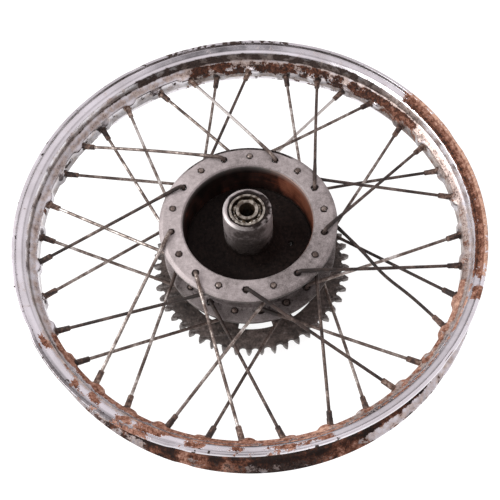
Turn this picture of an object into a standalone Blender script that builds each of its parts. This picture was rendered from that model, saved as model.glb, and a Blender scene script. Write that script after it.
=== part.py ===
"""Rear wheel of a light motorcycle: 17 inch rim, 36 butted spokes, full-width drum hub, 49-tooth sprocket.

The wheel lies flat on its sprocket bolts. Its axis is world Z and its brake side faces up.
The origin is the point of the axis on the floor. Heights are in millimetres from the rim's middle plane,
and mesh_object turns them into metres above the floor.
"""

import math

import bmesh
import bpy
from mathutils import Vector

MM = 0.001
GAP = 0.3  # left between two pieces that touch in the real wheel
RIM_PLANE = Vector((0.0, 0.0, 68.8))  # the rim's middle plane stands this far above the floor

# Rim
RIM_RADIUS = 230.0
RIM_HALF_WIDTH = 29.6
WELL_RADIUS = 209.4  # hub-facing side of the well
RIM_SHEET = 1.8
RIM_STEPS = 54
VALVE_HOLE_RADIUS = 4.2

# Lacing: two flanges of 18 holes, each flange half inside and half outside spokes
SPOKE_COUNT = 36
FIRST_NIPPLE_ANGLE = 145.5
NIPPLE_SHIFT = 0.65  # each nipple stands this many degrees off even spacing, towards its hub hole
LACING_ANGLE = 40.0  # between a spoke's hub hole and its nipple
NIPPLE_OFFSET = 2.0  # nipples lean this far towards their own flange
SPOKE_RADIUS = 1.63
BUTT_RADIUS = 1.95
BUTT_LENGTH = 28.0  # beyond the elbow
ELBOW_RADIUS = 4.5
SPOKE_HEAD_RADIUS = 3.2
SPOKE_HEAD_HEIGHT = 2.0
NIPPLE_RADIUS = 2.9
NIPPLE_HEAD_RADIUS = 4.4
NIPPLE_REACH = 15.0  # from the well towards the hub
NIPPLE_HOLE_RADIUS = 3.8
NIPPLE_SEAT_RADIUS = 5.6
DIMPLE_HEIGHT = 3.0
DIMPLE_CROWN_RADIUS = 6.0
DIMPLE_FOOT_RADIUS = 8.0

# Hub
FLANGE_RADIUS = 87.0
FLANGE_HOLE_CIRCLE = 75.0
FLANGE_HOLE_RADIUS = 2.7
TOP_FLANGE = (28.4, 33.4)  # z of the lower and upper face
LOW_FLANGE = (-20.0, -15.0)
BARREL_RADIUS = 70.5
FLANGE_BEVEL = (4.0, 2.2)  # in from the edge, and down from the face
FLANGE_ROOF = -17.0  # underside of the drum floor, inside the neck
DRUM_FLOOR = -8.0
LINER_INNER = 63.5
LINER_OUTER = 66.9
BOSS_RADIUS = 23.6
BOSS_TOP = 54.8
BOSS_BOTTOM = -66.0
HUB_BORE = 13.0
NECK_RADIUS = 58.0
NECK_INNER = 43.0
SPIGOT_RADIUS = 46.0
SPROCKET_SEAT = -55.2
HUB_STEPS = 40
RIB_COUNT = 6
RIB_THICKNESS = 5.0
RIB_TOP = -14.0
RIB_BOTTOM = (-58.0, -50.0)  # at the boss and at the neck
FLOOR_HOLE_CIRCLE = 42.0
FLOOR_HOLE_ANGLE = -7.5
FLOOR_HOLE_RADIUS = 3.0

# Bearings, 15 x 35 x 11
BEARING_BORE = 7.5
BEARING_OUTER = 17.5
BEARING_WIDTH = 11.0
OUTER_RACE = (15.1, 15.9)  # radius of its lips and of its groove
INNER_RACE = (10.8, 9.1)
CAGE = (11.8, 13.2)
CAGE_HALF_HEIGHT = 1.3
BALL_CIRCLE = 12.5
BALL_RADIUS = 2.97
BALL_COUNT = 8
BRAKE_BEARING_Z = 48.5
SPROCKET_BEARING_Z = -55.5
TUBE_RADIUS = 10.4
BEARING_STEPS = 24

# Sprocket, 12.7 pitch
TOOTH_COUNT = 49
CHAIN_PITCH = 12.7
ROLLER_RADIUS = 4.4
TIP_RADIUS = 103.0
FIRST_TOOTH_ANGLE = 169.6
SPROCKET_THICKNESS = 6.0
WINDOW_COUNT = 8
WINDOW_INNER = 61.5
WINDOW_OUTER = 75.5
WINDOW_HALF_ANGLE = 14.0
BOLT_COUNT = 6
BOLT_CIRCLE = 52.0
BOLT_RADIUS = 3.9
BOLT_HOLE_RADIUS = 4.4
BOLT_HEAD_RADIUS = 7.2
BOLT_HEAD_HEIGHT = 5.5
BOLT_LENGTH = 22.0
LOCK_PLATE = 1.2
LOCK_PLATE_INNER = 47.5
LOCK_PLATE_OUTER = 57.0
LOCK_PLATE_HALF_ANGLE = 38.0


def clear_scene():
    for thing in list(bpy.data.objects):
        bpy.data.objects.remove(thing, do_unlink=True)


def material(name, colour, roughness, metallic):
    """One Principled material."""
    made = bpy.data.materials.new(name)
    made.use_nodes = True
    shader = made.node_tree.nodes["Principled BSDF"]
    shader.inputs["Base Color"].default_value = (*colour, 1.0)
    shader.inputs["Roughness"].default_value = roughness
    shader.inputs["Metallic"].default_value = metallic
    made.diffuse_color = (*colour, 1.0)
    return made


def polar(radius, degrees, z):
    angle = math.radians(degrees)
    return Vector((radius * math.cos(angle), radius * math.sin(angle), z))


def mesh_object(name, points, faces, look=None):
    """A mesh from points in millimetres about the rim's middle plane, with its faces turned outwards."""
    mesh = bpy.data.meshes.new(name)
    mesh.from_pydata([(point + RIM_PLANE) * MM for point in points], [], faces)
    shape = bmesh.new()
    shape.from_mesh(mesh)
    bmesh.ops.recalc_face_normals(shape, faces=shape.faces)
    shape.to_mesh(mesh)
    shape.free()
    made = bpy.data.objects.new(name, mesh)
    bpy.context.scene.collection.objects.link(made)
    if look:
        mesh.materials.append(look)
    return made


def smooth(thing, degrees=35.0):
    """Smooth shading, with edges sharper than this left crisp."""
    thing.data.shade_smooth()
    thing.data.set_sharp_from_angle(angle=math.radians(degrees))
    return thing


def tube(stations, sides):
    """Points and faces of a closed tube through stations of (centre, across, along, radius)."""
    points = []
    faces = []
    for centre, across, along, radius in stations:
        third = along.cross(across)
        for side in range(sides):
            turn = math.tau * side / sides
            points.append(centre + (across * math.cos(turn) + third * math.sin(turn)) * radius)
    for row in range(len(stations) - 1):
        for side in range(sides):
            after = (side + 1) % sides
            here = row * sides
            there = here + sides
            faces.append((here + side, here + after, there + after, there + side))
    last = (len(stations) - 1) * sides
    faces.append(tuple(range(sides)))
    faces.append(tuple(range(last, last + sides)))
    return points, faces


def joined(shapes):
    """One list of points and one of faces from several separate shapes."""
    points = []
    faces = []
    for some_points, some_faces in shapes:
        start = len(points)
        points.extend(some_points)
        faces.extend(tuple(start + index for index in face) for face in some_faces)
    return points, faces


def straight(start, along, lengths_and_radii, sides):
    """A stepped round bar that starts at a point and runs along a direction."""
    across = along.orthogonal().normalized()
    stations = [(start + along * length, across, along, radius) for length, radius in lengths_and_radii]
    return tube(stations, sides)


def turned(name, profile, steps, look):
    """A ring made by turning a closed profile of (radius, z) about the world Z axis."""
    points = []
    faces = []
    count = len(profile)
    for step in range(steps):
        angle = 360.0 * step / steps
        points.extend(polar(radius, angle, z) for radius, z in profile)
    for step in range(steps):
        here = step * count
        there = (step + 1) % steps * count
        for corner in range(count):
            after = (corner + 1) % count
            faces.append((here + corner, here + after, there + after, there + corner))
    return mesh_object(name, points, faces, look)


def combine(thing, operation, name, points, faces):
    """Adds an exact Boolean of this shape to a thing. The shape itself stays out of the render."""
    tool = mesh_object(name, points, faces)
    tool.hide_render = True
    tool.display_type = "WIRE"
    modifier = thing.modifiers.new(name, "BOOLEAN")
    modifier.operation = operation
    modifier.solver = "EXACT"
    modifier.object = tool


def plate(name, outlines, low, high, look):
    """A flat plate between two heights, from an outer outline and the outlines of its holes."""
    curve = bpy.data.curves.new(name, "CURVE")
    curve.dimensions = "2D"
    curve.fill_mode = "BOTH"
    curve.extrude = (high - low) / 2 * MM
    for outline in outlines:
        spline = curve.splines.new("POLY")
        spline.points.add(len(outline) - 1)
        for point, (x, y) in zip(spline.points, outline):
            point.co = (x * MM, y * MM, 0.0, 1.0)
        spline.use_cyclic_u = True
    drawn = bpy.data.objects.new(name, curve)
    bpy.context.scene.collection.objects.link(drawn)
    shape = bmesh.new()
    shape.from_mesh(drawn.to_mesh())
    bmesh.ops.remove_doubles(shape, verts=shape.verts, dist=0.001 * MM)
    level = Vector((0.0, 0.0, (high + low) / 2))
    points = [vertex.co / MM + level for vertex in shape.verts]
    faces = [tuple(vertex.index for vertex in face.verts) for face in shape.faces]
    shape.free()
    bpy.data.objects.remove(drawn)
    return mesh_object(name, points, faces, look)


def circle_outline(radius, count, middle=(0.0, 0.0)):
    turns = [math.tau * step / count for step in range(count)]
    return [(middle[0] + radius * math.cos(turn), middle[1] + radius * math.sin(turn)) for turn in turns]


def sector_outline(inner, outer, middle_angle, half_angle, corner):
    """A ring sector with its four corners cut off."""
    outer_trim = math.degrees(corner / outer)
    inner_trim = math.degrees(corner / inner)
    steps = 4
    outline = []
    for step in range(steps + 1):
        share = 2 * step / steps - 1
        outline.append((outer, middle_angle + share * (half_angle - outer_trim)))
    outline.append((outer - corner, middle_angle + half_angle))
    outline.append((inner + corner, middle_angle + half_angle))
    for step in range(steps + 1):
        share = 1 - 2 * step / steps
        outline.append((inner, middle_angle + share * (half_angle - inner_trim)))
    outline.append((inner + corner, middle_angle - half_angle))
    outline.append((outer - corner, middle_angle - half_angle))
    return [tuple(polar(radius, angle, 0.0).xy) for radius, angle in outline]


def spoke_line(index):
    """A spoke's head, the way out of its hub hole, its elbow's corner, its nipple seat and its direction."""
    even_angle = FIRST_NIPPLE_ANGLE - index * 360.0 / SPOKE_COUNT
    top = index % 2 == 0
    outside = index % 4 < 2
    turn = 1.0 if index % 4 in (1, 2) else -1.0
    hole_angle = even_angle + turn * LACING_ANGLE
    nipple_angle = even_angle + turn * NIPPLE_SHIFT
    outer_face = TOP_FLANGE[1] if top else LOW_FLANGE[0]
    inner_face = TOP_FLANGE[0] if top else LOW_FLANGE[1]
    head_face, exit_face = (inner_face, outer_face) if outside else (outer_face, inner_face)
    up = 1.0 if exit_face > head_face else -1.0
    corner = polar(FLANGE_HOLE_CIRCLE, hole_angle, exit_face + up * (ELBOW_RADIUS + 0.4))
    well = polar(WELL_RADIUS, nipple_angle, NIPPLE_OFFSET if top else -NIPPLE_OFFSET)
    along = (well - corner).normalized()
    head = Vector((corner.x, corner.y, head_face - up * GAP))
    return head, Vector((0.0, 0.0, up)), corner, well, along


def spoke(index, look):
    """A butted spoke with its nipple screwed on, from its head in the flange to the nipple's head."""
    head, up, corner, well, along = spoke_line(index)
    across = up.cross(along).normalized()
    bend = (up + along).normalized()
    bend_point = corner + (along - up) * ELBOW_RADIUS * (1 - math.sqrt(0.5)) * 0.5
    stations = [
        (head - up * SPOKE_HEAD_HEIGHT, across, up, SPOKE_HEAD_RADIUS * 0.7),
        (head - up * SPOKE_HEAD_HEIGHT * 0.5, across, up, SPOKE_HEAD_RADIUS),
        (head, across, up, SPOKE_HEAD_RADIUS),
        (head, across, up, BUTT_RADIUS),
        (corner - up * ELBOW_RADIUS, across, up, BUTT_RADIUS),
        (bend_point, across, bend, BUTT_RADIUS),
        (corner + along * ELBOW_RADIUS, across, along, BUTT_RADIUS),
        (corner + along * BUTT_LENGTH, across, along, SPOKE_RADIUS),
        (well - along * NIPPLE_REACH, across, along, SPOKE_RADIUS),
        (well - along * (NIPPLE_REACH - 1.0), across, along, NIPPLE_RADIUS),
        (well - along * 0.6, across, along, NIPPLE_RADIUS),
        (well - along * 0.6, across, along, NIPPLE_HEAD_RADIUS),
        (well + along * 2.4, across, along, NIPPLE_HEAD_RADIUS * 0.9),
    ]
    points, faces = tube(stations, 6)
    return smooth(mesh_object(f"spoke_{index + 1:02d}", points, faces, look), 50.0)


def rim_profile():
    """Section of the rolled steel rim: well, shoulders, bead seats, side walls and rolled lips."""
    hub_side = [
        (WELL_RADIUS, 7.2),
        (216.4, 13.4),
        (217.6, 21.8),
        (225.8, 26.6),
        (226.4, RIM_HALF_WIDTH),
        (229.3, RIM_HALF_WIDTH),
        (RIM_RADIUS, 27.4),
    ]
    tyre_side = [
        (227.4, 25.2),
        (219.5, 20.6),
        (218.1, 14.0),
        (WELL_RADIUS + RIM_SHEET, 8.2),
    ]
    half = hub_side + tyre_side
    return half + [(radius, -z) for radius, z in reversed(half)]


def rim(look):
    made = turned("rim", rim_profile(), RIM_STEPS, look)
    dimples = []
    holes = []
    for index in range(SPOKE_COUNT):
        _, _, _, well, along = spoke_line(index)
        dimple = [(-DIMPLE_HEIGHT, DIMPLE_CROWN_RADIUS), (RIM_SHEET / 2, DIMPLE_FOOT_RADIUS)]
        dimples.append(straight(well, along, dimple, 6))
        hole = [(-8.0, NIPPLE_HOLE_RADIUS), (-0.9, NIPPLE_HOLE_RADIUS)]
        hole += [(-0.9, NIPPLE_SEAT_RADIUS), (9.0, NIPPLE_SEAT_RADIUS)]
        holes.append(straight(well, along, hole, 6))
    valve_angle = FIRST_NIPPLE_ANGLE - (20.5 * 360.0 / SPOKE_COUNT)
    outwards = polar(1.0, valve_angle, 0.0)
    valve_hole = [(-6.0, VALVE_HOLE_RADIUS), (9.0, VALVE_HOLE_RADIUS)]
    holes.append(straight(outwards * WELL_RADIUS, outwards, valve_hole, 12))
    combine(made, "UNION", "rim_dimples", *joined(dimples))
    combine(made, "DIFFERENCE", "rim_holes", *joined(holes))
    return smooth(made)


def hub_profile():
    """Section of the cast hub: boss, drum floor, wall, two spoke flanges, and the neck below them."""
    seat = BEARING_OUTER + GAP
    brake_shoulder = BRAKE_BEARING_Z - BEARING_WIDTH / 2 - GAP
    sprocket_shoulder = SPROCKET_BEARING_Z + BEARING_WIDTH / 2 + GAP
    top_low, top_high = TOP_FLANGE
    low_low, low_high = LOW_FLANGE
    bevel_radius = FLANGE_RADIUS - FLANGE_BEVEL[0]
    bevel_height = FLANGE_BEVEL[1]
    spigot_end = SPROCKET_SEAT - SPROCKET_THICKNESS + 1.0
    return [
        (HUB_BORE, sprocket_shoulder),
        (HUB_BORE, brake_shoulder),
        (seat, brake_shoulder),
        (seat, BOSS_TOP - 0.6),
        (seat + 0.7, BOSS_TOP),
        (BOSS_RADIUS - 1.3, BOSS_TOP),
        (BOSS_RADIUS, BOSS_TOP - 1.3),
        (BOSS_RADIUS + 0.6, 2.0),
        (BOSS_RADIUS + 9.0, DRUM_FLOOR),
        (LINER_OUTER + GAP, DRUM_FLOOR),
        (LINER_OUTER + GAP, top_high - 2.1),
        (LINER_INNER + 0.5, top_high - 2.1),
        (LINER_INNER + 0.5, top_high - 1.6),
        (LINER_INNER + 2.5, top_high),
        (bevel_radius, top_high),
        (FLANGE_RADIUS, top_high - bevel_height),
        (FLANGE_RADIUS, top_low),
        (BARREL_RADIUS, top_low),
        (BARREL_RADIUS, low_high),
        (FLANGE_RADIUS, low_high),
        (FLANGE_RADIUS, low_low + bevel_height),
        (bevel_radius, low_low),
        (NECK_RADIUS + 8.0, low_low),
        (NECK_RADIUS, low_low - 8.0),
        (NECK_RADIUS, SPROCKET_SEAT),
        (SPIGOT_RADIUS, SPROCKET_SEAT),
        (SPIGOT_RADIUS, spigot_end),
        (NECK_INNER, spigot_end),
        (NECK_INNER, FLANGE_ROOF),
        (BOSS_RADIUS + 2.0, FLANGE_ROOF),
        (BOSS_RADIUS, BOSS_BOTTOM),
        (seat, BOSS_BOTTOM),
        (seat, sprocket_shoulder),
    ]


def rib(angle):
    """One radial rib between the boss and the neck, as points and faces."""
    outwards = polar(1.0, angle, 0.0)
    sideways = polar(RIB_THICKNESS / 2, angle + 90.0, 0.0)
    inner = BOSS_RADIUS - 1.0
    outer = NECK_INNER + 2.0
    points = []
    for reach, z in ((inner, RIB_TOP), (outer, RIB_TOP), (outer, RIB_BOTTOM[1]), (inner, RIB_BOTTOM[0])):
        level = Vector((0.0, 0.0, z))
        points.append(outwards * reach + sideways + level)
        points.append(outwards * reach - sideways + level)
    faces = [(0, 2, 4, 6), (1, 7, 5, 3), (0, 1, 3, 2), (2, 3, 5, 4), (4, 5, 7, 6), (6, 7, 1, 0)]
    return points, faces


def hub_shell(look):
    made = turned("hub_shell", hub_profile(), HUB_STEPS, look)
    down = Vector((0.0, 0.0, -1.0))
    holes = []
    for index in range(SPOKE_COUNT):
        head, up, corner, _, _ = spoke_line(index)
        far = 9.0 if up.z * head.z > 0 else 7.0
        holes.append(straight(head, up, [(-1.5, FLANGE_HOLE_RADIUS), (far, FLANGE_HOLE_RADIUS)], 6))
    for index in range(BOLT_COUNT):
        mouth = polar(BOLT_CIRCLE, 360.0 * index / BOLT_COUNT, SPROCKET_SEAT)
        holes.append(straight(mouth, down, [(-20.0, BOLT_RADIUS + 0.4), (3.0, BOLT_RADIUS + 0.4)], 10))
    drain = polar(FLOOR_HOLE_CIRCLE, FLOOR_HOLE_ANGLE, DRUM_FLOOR)
    holes.append(straight(drain, down, [(-4.0, FLOOR_HOLE_RADIUS), (14.0, FLOOR_HOLE_RADIUS)], 10))
    ribs = [rib(30.0 + 360.0 * index / RIB_COUNT) for index in range(RIB_COUNT)]
    combine(made, "UNION", "hub_ribs", *joined(ribs))
    combine(made, "DIFFERENCE", "hub_holes", *joined(holes))
    return smooth(made)


def drum_liner(look):
    low = DRUM_FLOOR + GAP
    high = TOP_FLANGE[1] - 2.1 - GAP
    profile = [
        (LINER_INNER, low),
        (LINER_OUTER, low),
        (LINER_OUTER, high),
        (LINER_INNER + 0.6, high),
        (LINER_INNER, high - 0.6),
    ]
    return smooth(turned("brake_drum_liner", profile, HUB_STEPS, look))


def race_profile(seat, lip, groove, z, half):
    """Section of one race: its plain seat, its two lips, and the groove between them."""
    groove_side = math.copysign(3.0, half)
    groove_floor = math.copysign(1.5, half)
    return [
        (seat, z - half),
        (seat, z + half),
        (lip, z + half),
        (lip, z + groove_side),
        (groove, z + groove_floor),
        (groove, z - groove_floor),
        (lip, z - groove_side),
        (lip, z - half),
    ]


def bearing(side, z, race_look, cage_look):
    """Outer race, inner race, and the balls with their cage, of one deep-groove ball bearing."""
    half = BEARING_WIDTH / 2
    outer = race_profile(BEARING_OUTER, *OUTER_RACE, z, half)
    inner = race_profile(BEARING_BORE, *INNER_RACE, z, -half)
    low = z - CAGE_HALF_HEIGHT
    high = z + CAGE_HALF_HEIGHT
    cage = [(CAGE[0], low), (CAGE[1], low), (CAGE[1], high), (CAGE[0], high)]
    smooth(turned(f"outer_race_{side}", outer, BEARING_STEPS, race_look))
    smooth(turned(f"inner_race_{side}", inner, BEARING_STEPS, race_look))
    made = turned(f"ball_cage_{side}", cage, BALL_COUNT * 2, cage_look)
    combine(made, "UNION", f"balls_{side}", *joined([ball(index, z) for index in range(BALL_COUNT)]))
    return smooth(made, 60.0)


def ball(index, z):
    """One bearing ball, as points and faces."""
    shape = bmesh.new()
    bmesh.ops.create_icosphere(shape, subdivisions=2, radius=BALL_RADIUS)
    centre = polar(BALL_CIRCLE, 360.0 * (index + 0.5) / BALL_COUNT, z)
    points = [vertex.co + centre for vertex in shape.verts]
    faces = [tuple(vertex.index for vertex in face.verts) for face in shape.faces]
    shape.free()
    return points, faces


def spacer_tube(look):
    high = BRAKE_BEARING_Z - BEARING_WIDTH / 2 - GAP
    low = SPROCKET_BEARING_Z + BEARING_WIDTH / 2 + GAP
    bore = BEARING_BORE + 0.2
    profile = [(bore, low), (TUBE_RADIUS, low), (TUBE_RADIUS, high), (bore, high)]
    return smooth(turned("spacer_tube", profile, BEARING_STEPS, look))


def oil_seal(look):
    high = SPROCKET_BEARING_Z - BEARING_WIDTH / 2 - GAP
    low = BOSS_BOTTOM + 0.4
    profile = [
        (BEARING_OUTER, low),
        (BEARING_OUTER, high),
        (16.2, high),
        (15.4, low + 1.6),
        (12.0, high - 0.6),
        (11.0, low + 1.6),
        (12.0, low),
    ]
    return smooth(turned("oil_seal", profile, BEARING_STEPS, look))


def tooth_outline():
    """The sprocket's outline: a worn seat between rollers, then a narrow pointed tip."""
    pitch_radius = CHAIN_PITCH / 2 / math.sin(math.pi / TOOTH_COUNT)
    step = 360.0 / TOOTH_COUNT
    outline = []
    for tooth in range(TOOTH_COUNT):
        middle = FIRST_TOOTH_ANGLE + tooth * step
        for side in (-0.045, 0.045):
            outline.append((TIP_RADIUS, middle + side * step))
        outline.append((pitch_radius, middle + 0.19 * step))
        for turn in (-38.0, 38.0):
            across = math.degrees(ROLLER_RADIUS * math.sin(math.radians(turn)) / pitch_radius)
            depth = ROLLER_RADIUS * math.cos(math.radians(turn))
            outline.append((pitch_radius - depth, middle + 0.5 * step + across))
        outline.append((pitch_radius, middle + 0.81 * step))
    return [tuple(polar(radius, angle, 0.0).xy) for radius, angle in outline]


def bolt_positions():
    return [polar(BOLT_CIRCLE, 360.0 * index / BOLT_COUNT, 0.0).xy for index in range(BOLT_COUNT)]


def sprocket(look):
    outlines = [tooth_outline(), circle_outline(SPIGOT_RADIUS + GAP, HUB_STEPS)]
    for index in range(WINDOW_COUNT):
        middle = 360.0 * index / WINDOW_COUNT
        outlines.append(sector_outline(WINDOW_INNER, WINDOW_OUTER, middle, WINDOW_HALF_ANGLE, 3.0))
    outlines.extend(circle_outline(BOLT_HOLE_RADIUS, 10, spot) for spot in bolt_positions())
    high = SPROCKET_SEAT - GAP
    return plate("sprocket", outlines, high - SPROCKET_THICKNESS, high, look)


def lock_plates(look):
    """Folded plates that lock the sprocket bolts in pairs."""
    high = SPROCKET_SEAT - SPROCKET_THICKNESS - 2 * GAP
    spots = bolt_positions()
    for index in range(BOLT_COUNT // 2):
        middle = 120.0 * index + 30.0
        outlines = [sector_outline(LOCK_PLATE_INNER, LOCK_PLATE_OUTER, middle, LOCK_PLATE_HALF_ANGLE, 2.0)]
        pair = spots[2 * index : 2 * index + 2]
        outlines.extend(circle_outline(BOLT_HOLE_RADIUS, 10, spot) for spot in pair)
        plate(f"lock_plate_{index + 1}", outlines, high - LOCK_PLATE, high, look)


def sprocket_bolts(look):
    """Hexagon bolts that hold the sprocket to the hub neck."""
    under_head = SPROCKET_SEAT - SPROCKET_THICKNESS - LOCK_PLATE - 3 * GAP
    up = Vector((0.0, 0.0, 1.0))
    for index, spot in enumerate(bolt_positions()):
        base = Vector((spot.x, spot.y, under_head))
        across = Vector((1.0, 0.0, 0.0))
        levels = [(-BOLT_HEAD_HEIGHT, BOLT_HEAD_RADIUS * 0.9), (-BOLT_HEAD_HEIGHT + 0.7, BOLT_HEAD_RADIUS)]
        levels += [(0.0, BOLT_HEAD_RADIUS), (0.0, BOLT_RADIUS), (BOLT_LENGTH, BOLT_RADIUS)]
        stations = [(base + up * level, across, up, radius) for level, radius in levels]
        points, faces = tube(stations, 6)
        mesh_object(f"sprocket_bolt_{index + 1}", points, faces, look)


def build():
    clear_scene()
    chrome = material("chromed_steel", (0.62, 0.60, 0.60), 0.28, 1.0)
    spoke_steel = material("spoke_steel", (0.30, 0.27, 0.25), 0.45, 0.9)
    aluminium = material("cast_aluminium", (0.62, 0.60, 0.59), 0.55, 0.8)
    iron = material("drum_iron", (0.16, 0.10, 0.08), 0.60, 0.7)
    race_steel = material("bearing_steel", (0.45, 0.43, 0.40), 0.30, 1.0)
    cage_steel = material("greasy_cage", (0.20, 0.17, 0.14), 0.40, 0.8)
    tube_steel = material("spacer_steel", (0.28, 0.26, 0.25), 0.50, 0.9)
    sprocket_steel = material("greasy_sprocket_steel", (0.22, 0.20, 0.18), 0.55, 0.8)
    bolt_steel = material("bolt_steel", (0.40, 0.38, 0.35), 0.40, 0.9)
    rubber = material("seal_rubber", (0.03, 0.03, 0.03), 0.70, 0.0)

    rim(chrome)
    for index in range(SPOKE_COUNT):
        spoke(index, spoke_steel)
    hub_shell(aluminium)
    drum_liner(iron)
    bearing("brake_side", BRAKE_BEARING_Z, race_steel, cage_steel)
    bearing("sprocket_side", SPROCKET_BEARING_Z, race_steel, cage_steel)
    spacer_tube(tube_steel)
    oil_seal(rubber)
    sprocket(sprocket_steel)
    lock_plates(bolt_steel)
    sprocket_bolts(bolt_steel)


build()
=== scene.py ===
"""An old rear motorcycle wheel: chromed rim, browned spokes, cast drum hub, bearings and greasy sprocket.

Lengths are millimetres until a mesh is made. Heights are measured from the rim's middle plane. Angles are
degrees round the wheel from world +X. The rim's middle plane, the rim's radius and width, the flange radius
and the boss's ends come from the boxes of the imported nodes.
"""

import random
from functools import partial
from math import ceil, cos, degrees, dist, exp, pi, radians, sin, tan, tau

import bmesh
import bpy
import numpy as np
from mathutils import Matrix, Vector, noise


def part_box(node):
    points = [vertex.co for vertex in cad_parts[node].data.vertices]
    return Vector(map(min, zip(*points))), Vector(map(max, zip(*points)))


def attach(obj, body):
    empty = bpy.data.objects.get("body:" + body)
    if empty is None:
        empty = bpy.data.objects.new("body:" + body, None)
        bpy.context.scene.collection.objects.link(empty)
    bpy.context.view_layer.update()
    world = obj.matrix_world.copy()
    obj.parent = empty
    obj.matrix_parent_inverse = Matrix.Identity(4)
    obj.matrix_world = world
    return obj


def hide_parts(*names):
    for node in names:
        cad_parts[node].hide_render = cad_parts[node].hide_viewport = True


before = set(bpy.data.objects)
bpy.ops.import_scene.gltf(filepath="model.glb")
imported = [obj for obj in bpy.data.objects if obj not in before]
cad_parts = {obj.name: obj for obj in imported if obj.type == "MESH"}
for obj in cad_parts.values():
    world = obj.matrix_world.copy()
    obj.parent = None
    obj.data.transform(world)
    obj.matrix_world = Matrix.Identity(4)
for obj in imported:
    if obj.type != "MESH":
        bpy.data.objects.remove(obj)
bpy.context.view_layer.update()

MM = 0.001
RIM_BOX = [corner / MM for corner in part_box("rim")]
HUB_BOX = [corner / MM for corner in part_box("hub_shell")]
RIM_PLANE = (RIM_BOX[0].z + RIM_BOX[1].z) / 2  # height of the rim's middle plane above the floor
WHEEL = "wheel"
SLEEVE = "spindle_sleeve"
UP = Vector((0, 0, 1))

# Rim
RIM_RADIUS = RIM_BOX[1].x
RIM_HALF_WIDTH = RIM_BOX[1].z - RIM_PLANE
WELL_RADIUS = 209.4
RIM_SHEET = 1.8
RIM_STEPS = 720
VALVE_ANGLE = -60
VALVE_HOLE_RADIUS = 4.2
LIP_BEND = 2.5  # where a kerb has pushed the upper lip out and the lower lip in
LIP_BEND_ANGLE = 227
DIMPLE_HEIGHT = 3.2
DIMPLE_FOOT = 9
DIMPLE_SHIFT = 1.5  # degrees from a nipple to the crown of its dimple
NIPPLE_HOLE_RADIUS = 3.2

# Lacing
SPOKE_COUNT = 36
FIRST_HOLE_ANGLE = 145
FIRST_NIPPLE_ANGLE = 145.55
NIPPLE_SHIFT = 0.65  # each nipple stands this many degrees off even spacing, towards its hub hole
LACING_DRIFT = 1.45  # degrees the nipples drift where the rim has crept round on its spokes
LACING_ANGLE = 40
NIPPLE_OFFSET = 2
SPOKE_RADIUS = 1.6
BUTT_RADIUS = 1.95
BUTT_LENGTH = 28
ELBOW_RADIUS = 4.5
SPOKE_HEAD_RADIUS = 2.7
SPOKE_HEAD_HEIGHT = 2.2
WIRE_SIDES = 14
HEAD_ROWS = 8
NIPPLE_RADIUS = 2.95
NIPPLE_REACH = 15
NIPPLE_HEAD_RADIUS = 4.3
NIPPLE_SIDES = 24
SPOKE_TONES = {  # from bare steel to dark brown; the spokes not named here lie between
    1: (9,),
    0.9: (4,),
    0.77: (34,),
    0.68: (1, 2, 21, 26, 28, 31, 33),
    0.58: (3, 5, 7, 10, 15, 24, 27),
    0.43: (0, 19, 35),
    0.34: (6, 13, 14, 22, 25, 32),
    0.27: (12, 16, 23, 30),
    0.16: (17, 18, 20),
}

# Hub
FLANGE_RADIUS = HUB_BOX[1].x
FLANGE_HOLE_CIRCLE = 75
FLANGE_HOLE_RADIUS = 2.6
TOP_FLANGE = (28.4, 33.4)
LOW_FLANGE = (-20, -15)
BARREL_RADIUS = 70.5
DRUM_FLOOR = -8
LINER_INNER = 63.5
LINER_OUTER = 66.9
BOSS_RADIUS = 23.6
BOSS_TOP = HUB_BOX[1].z - RIM_PLANE
BOSS_BOTTOM = HUB_BOX[0].z - RIM_PLANE
HUB_BORE_RADIUS = 13
NECK_RADIUS = 58
NECK_INNER = 43
NECK_ROOF = -17
RIB_COUNT = 6
SPIGOT_RADIUS = 46
SPROCKET_SEAT = -55.2
HUB_STEPS = 240

# Bearings
BORE_RADIUS = 7.5
BEARING_OUTER = 17.5
BEARING_WIDTH = 11
BALL_CIRCLE = 12.5
BALL_RADIUS = 2.95
BALL_COUNT = 8
BEARING_HEIGHTS = {"brake_side": 48.5, "sprocket_side": -55.5}
BEARING_STEPS = 96

# Sprocket
TOOTH_COUNT = 49
CHAIN_PITCH = 12.7
ROLLER_RADIUS = 4.4
TIP_RADIUS = 103
FIRST_TOOTH_ANGLE = 169.6
SPROCKET_TOP = SPROCKET_SEAT - 0.3
SPROCKET_LOW = SPROCKET_TOP - 6
WINDOW_COUNT = 8
WINDOW_INNER = 61.5
WINDOW_OUTER = 75.5
BOLT_COUNT = 6
BOLT_CIRCLE = 52
BOLT_HOLE_RADIUS = 4.2
BOLT_RADIUS = 3.9


# ---- shapes ----


def polar(radius, degrees, z=0):
    angle = radians(degrees)
    return Vector((radius * cos(angle), radius * sin(angle), z))


def smoothstep(values, low, high):
    share = np.clip((values - low) / (high - low), 0, 1)
    return share * share * (3 - 2 * share)


def rounded(corners, steps=4):
    """A closed outline whose corners (x, y, radius) become arcs."""
    outline = []
    for index, (x, y, radius) in enumerate(corners):
        here = Vector((x, y))
        before = Vector(corners[index - 1][:2]) - here
        after = Vector(corners[(index + 1) % len(corners)][:2]) - here
        half = before.angle(after) / 2
        reach = min(radius / tan(half), 0.48 * before.length, 0.48 * after.length)
        if reach < 0.02:
            outline.append((x, y))
            continue
        radius = reach * tan(half)
        centre = here + (before.normalized() + after.normalized()).normalized() * (radius / sin(half))
        start = here + before.normalized() * reach - centre
        sweep = start.angle_signed(here + after.normalized() * reach - centre)
        for step in range(steps + 1):
            turn = -sweep * step / steps
            x = centre.x + start.x * cos(turn) - start.y * sin(turn)
            y = centre.y + start.x * sin(turn) + start.y * cos(turn)
            outline.append((x, y))
    return outline


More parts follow.
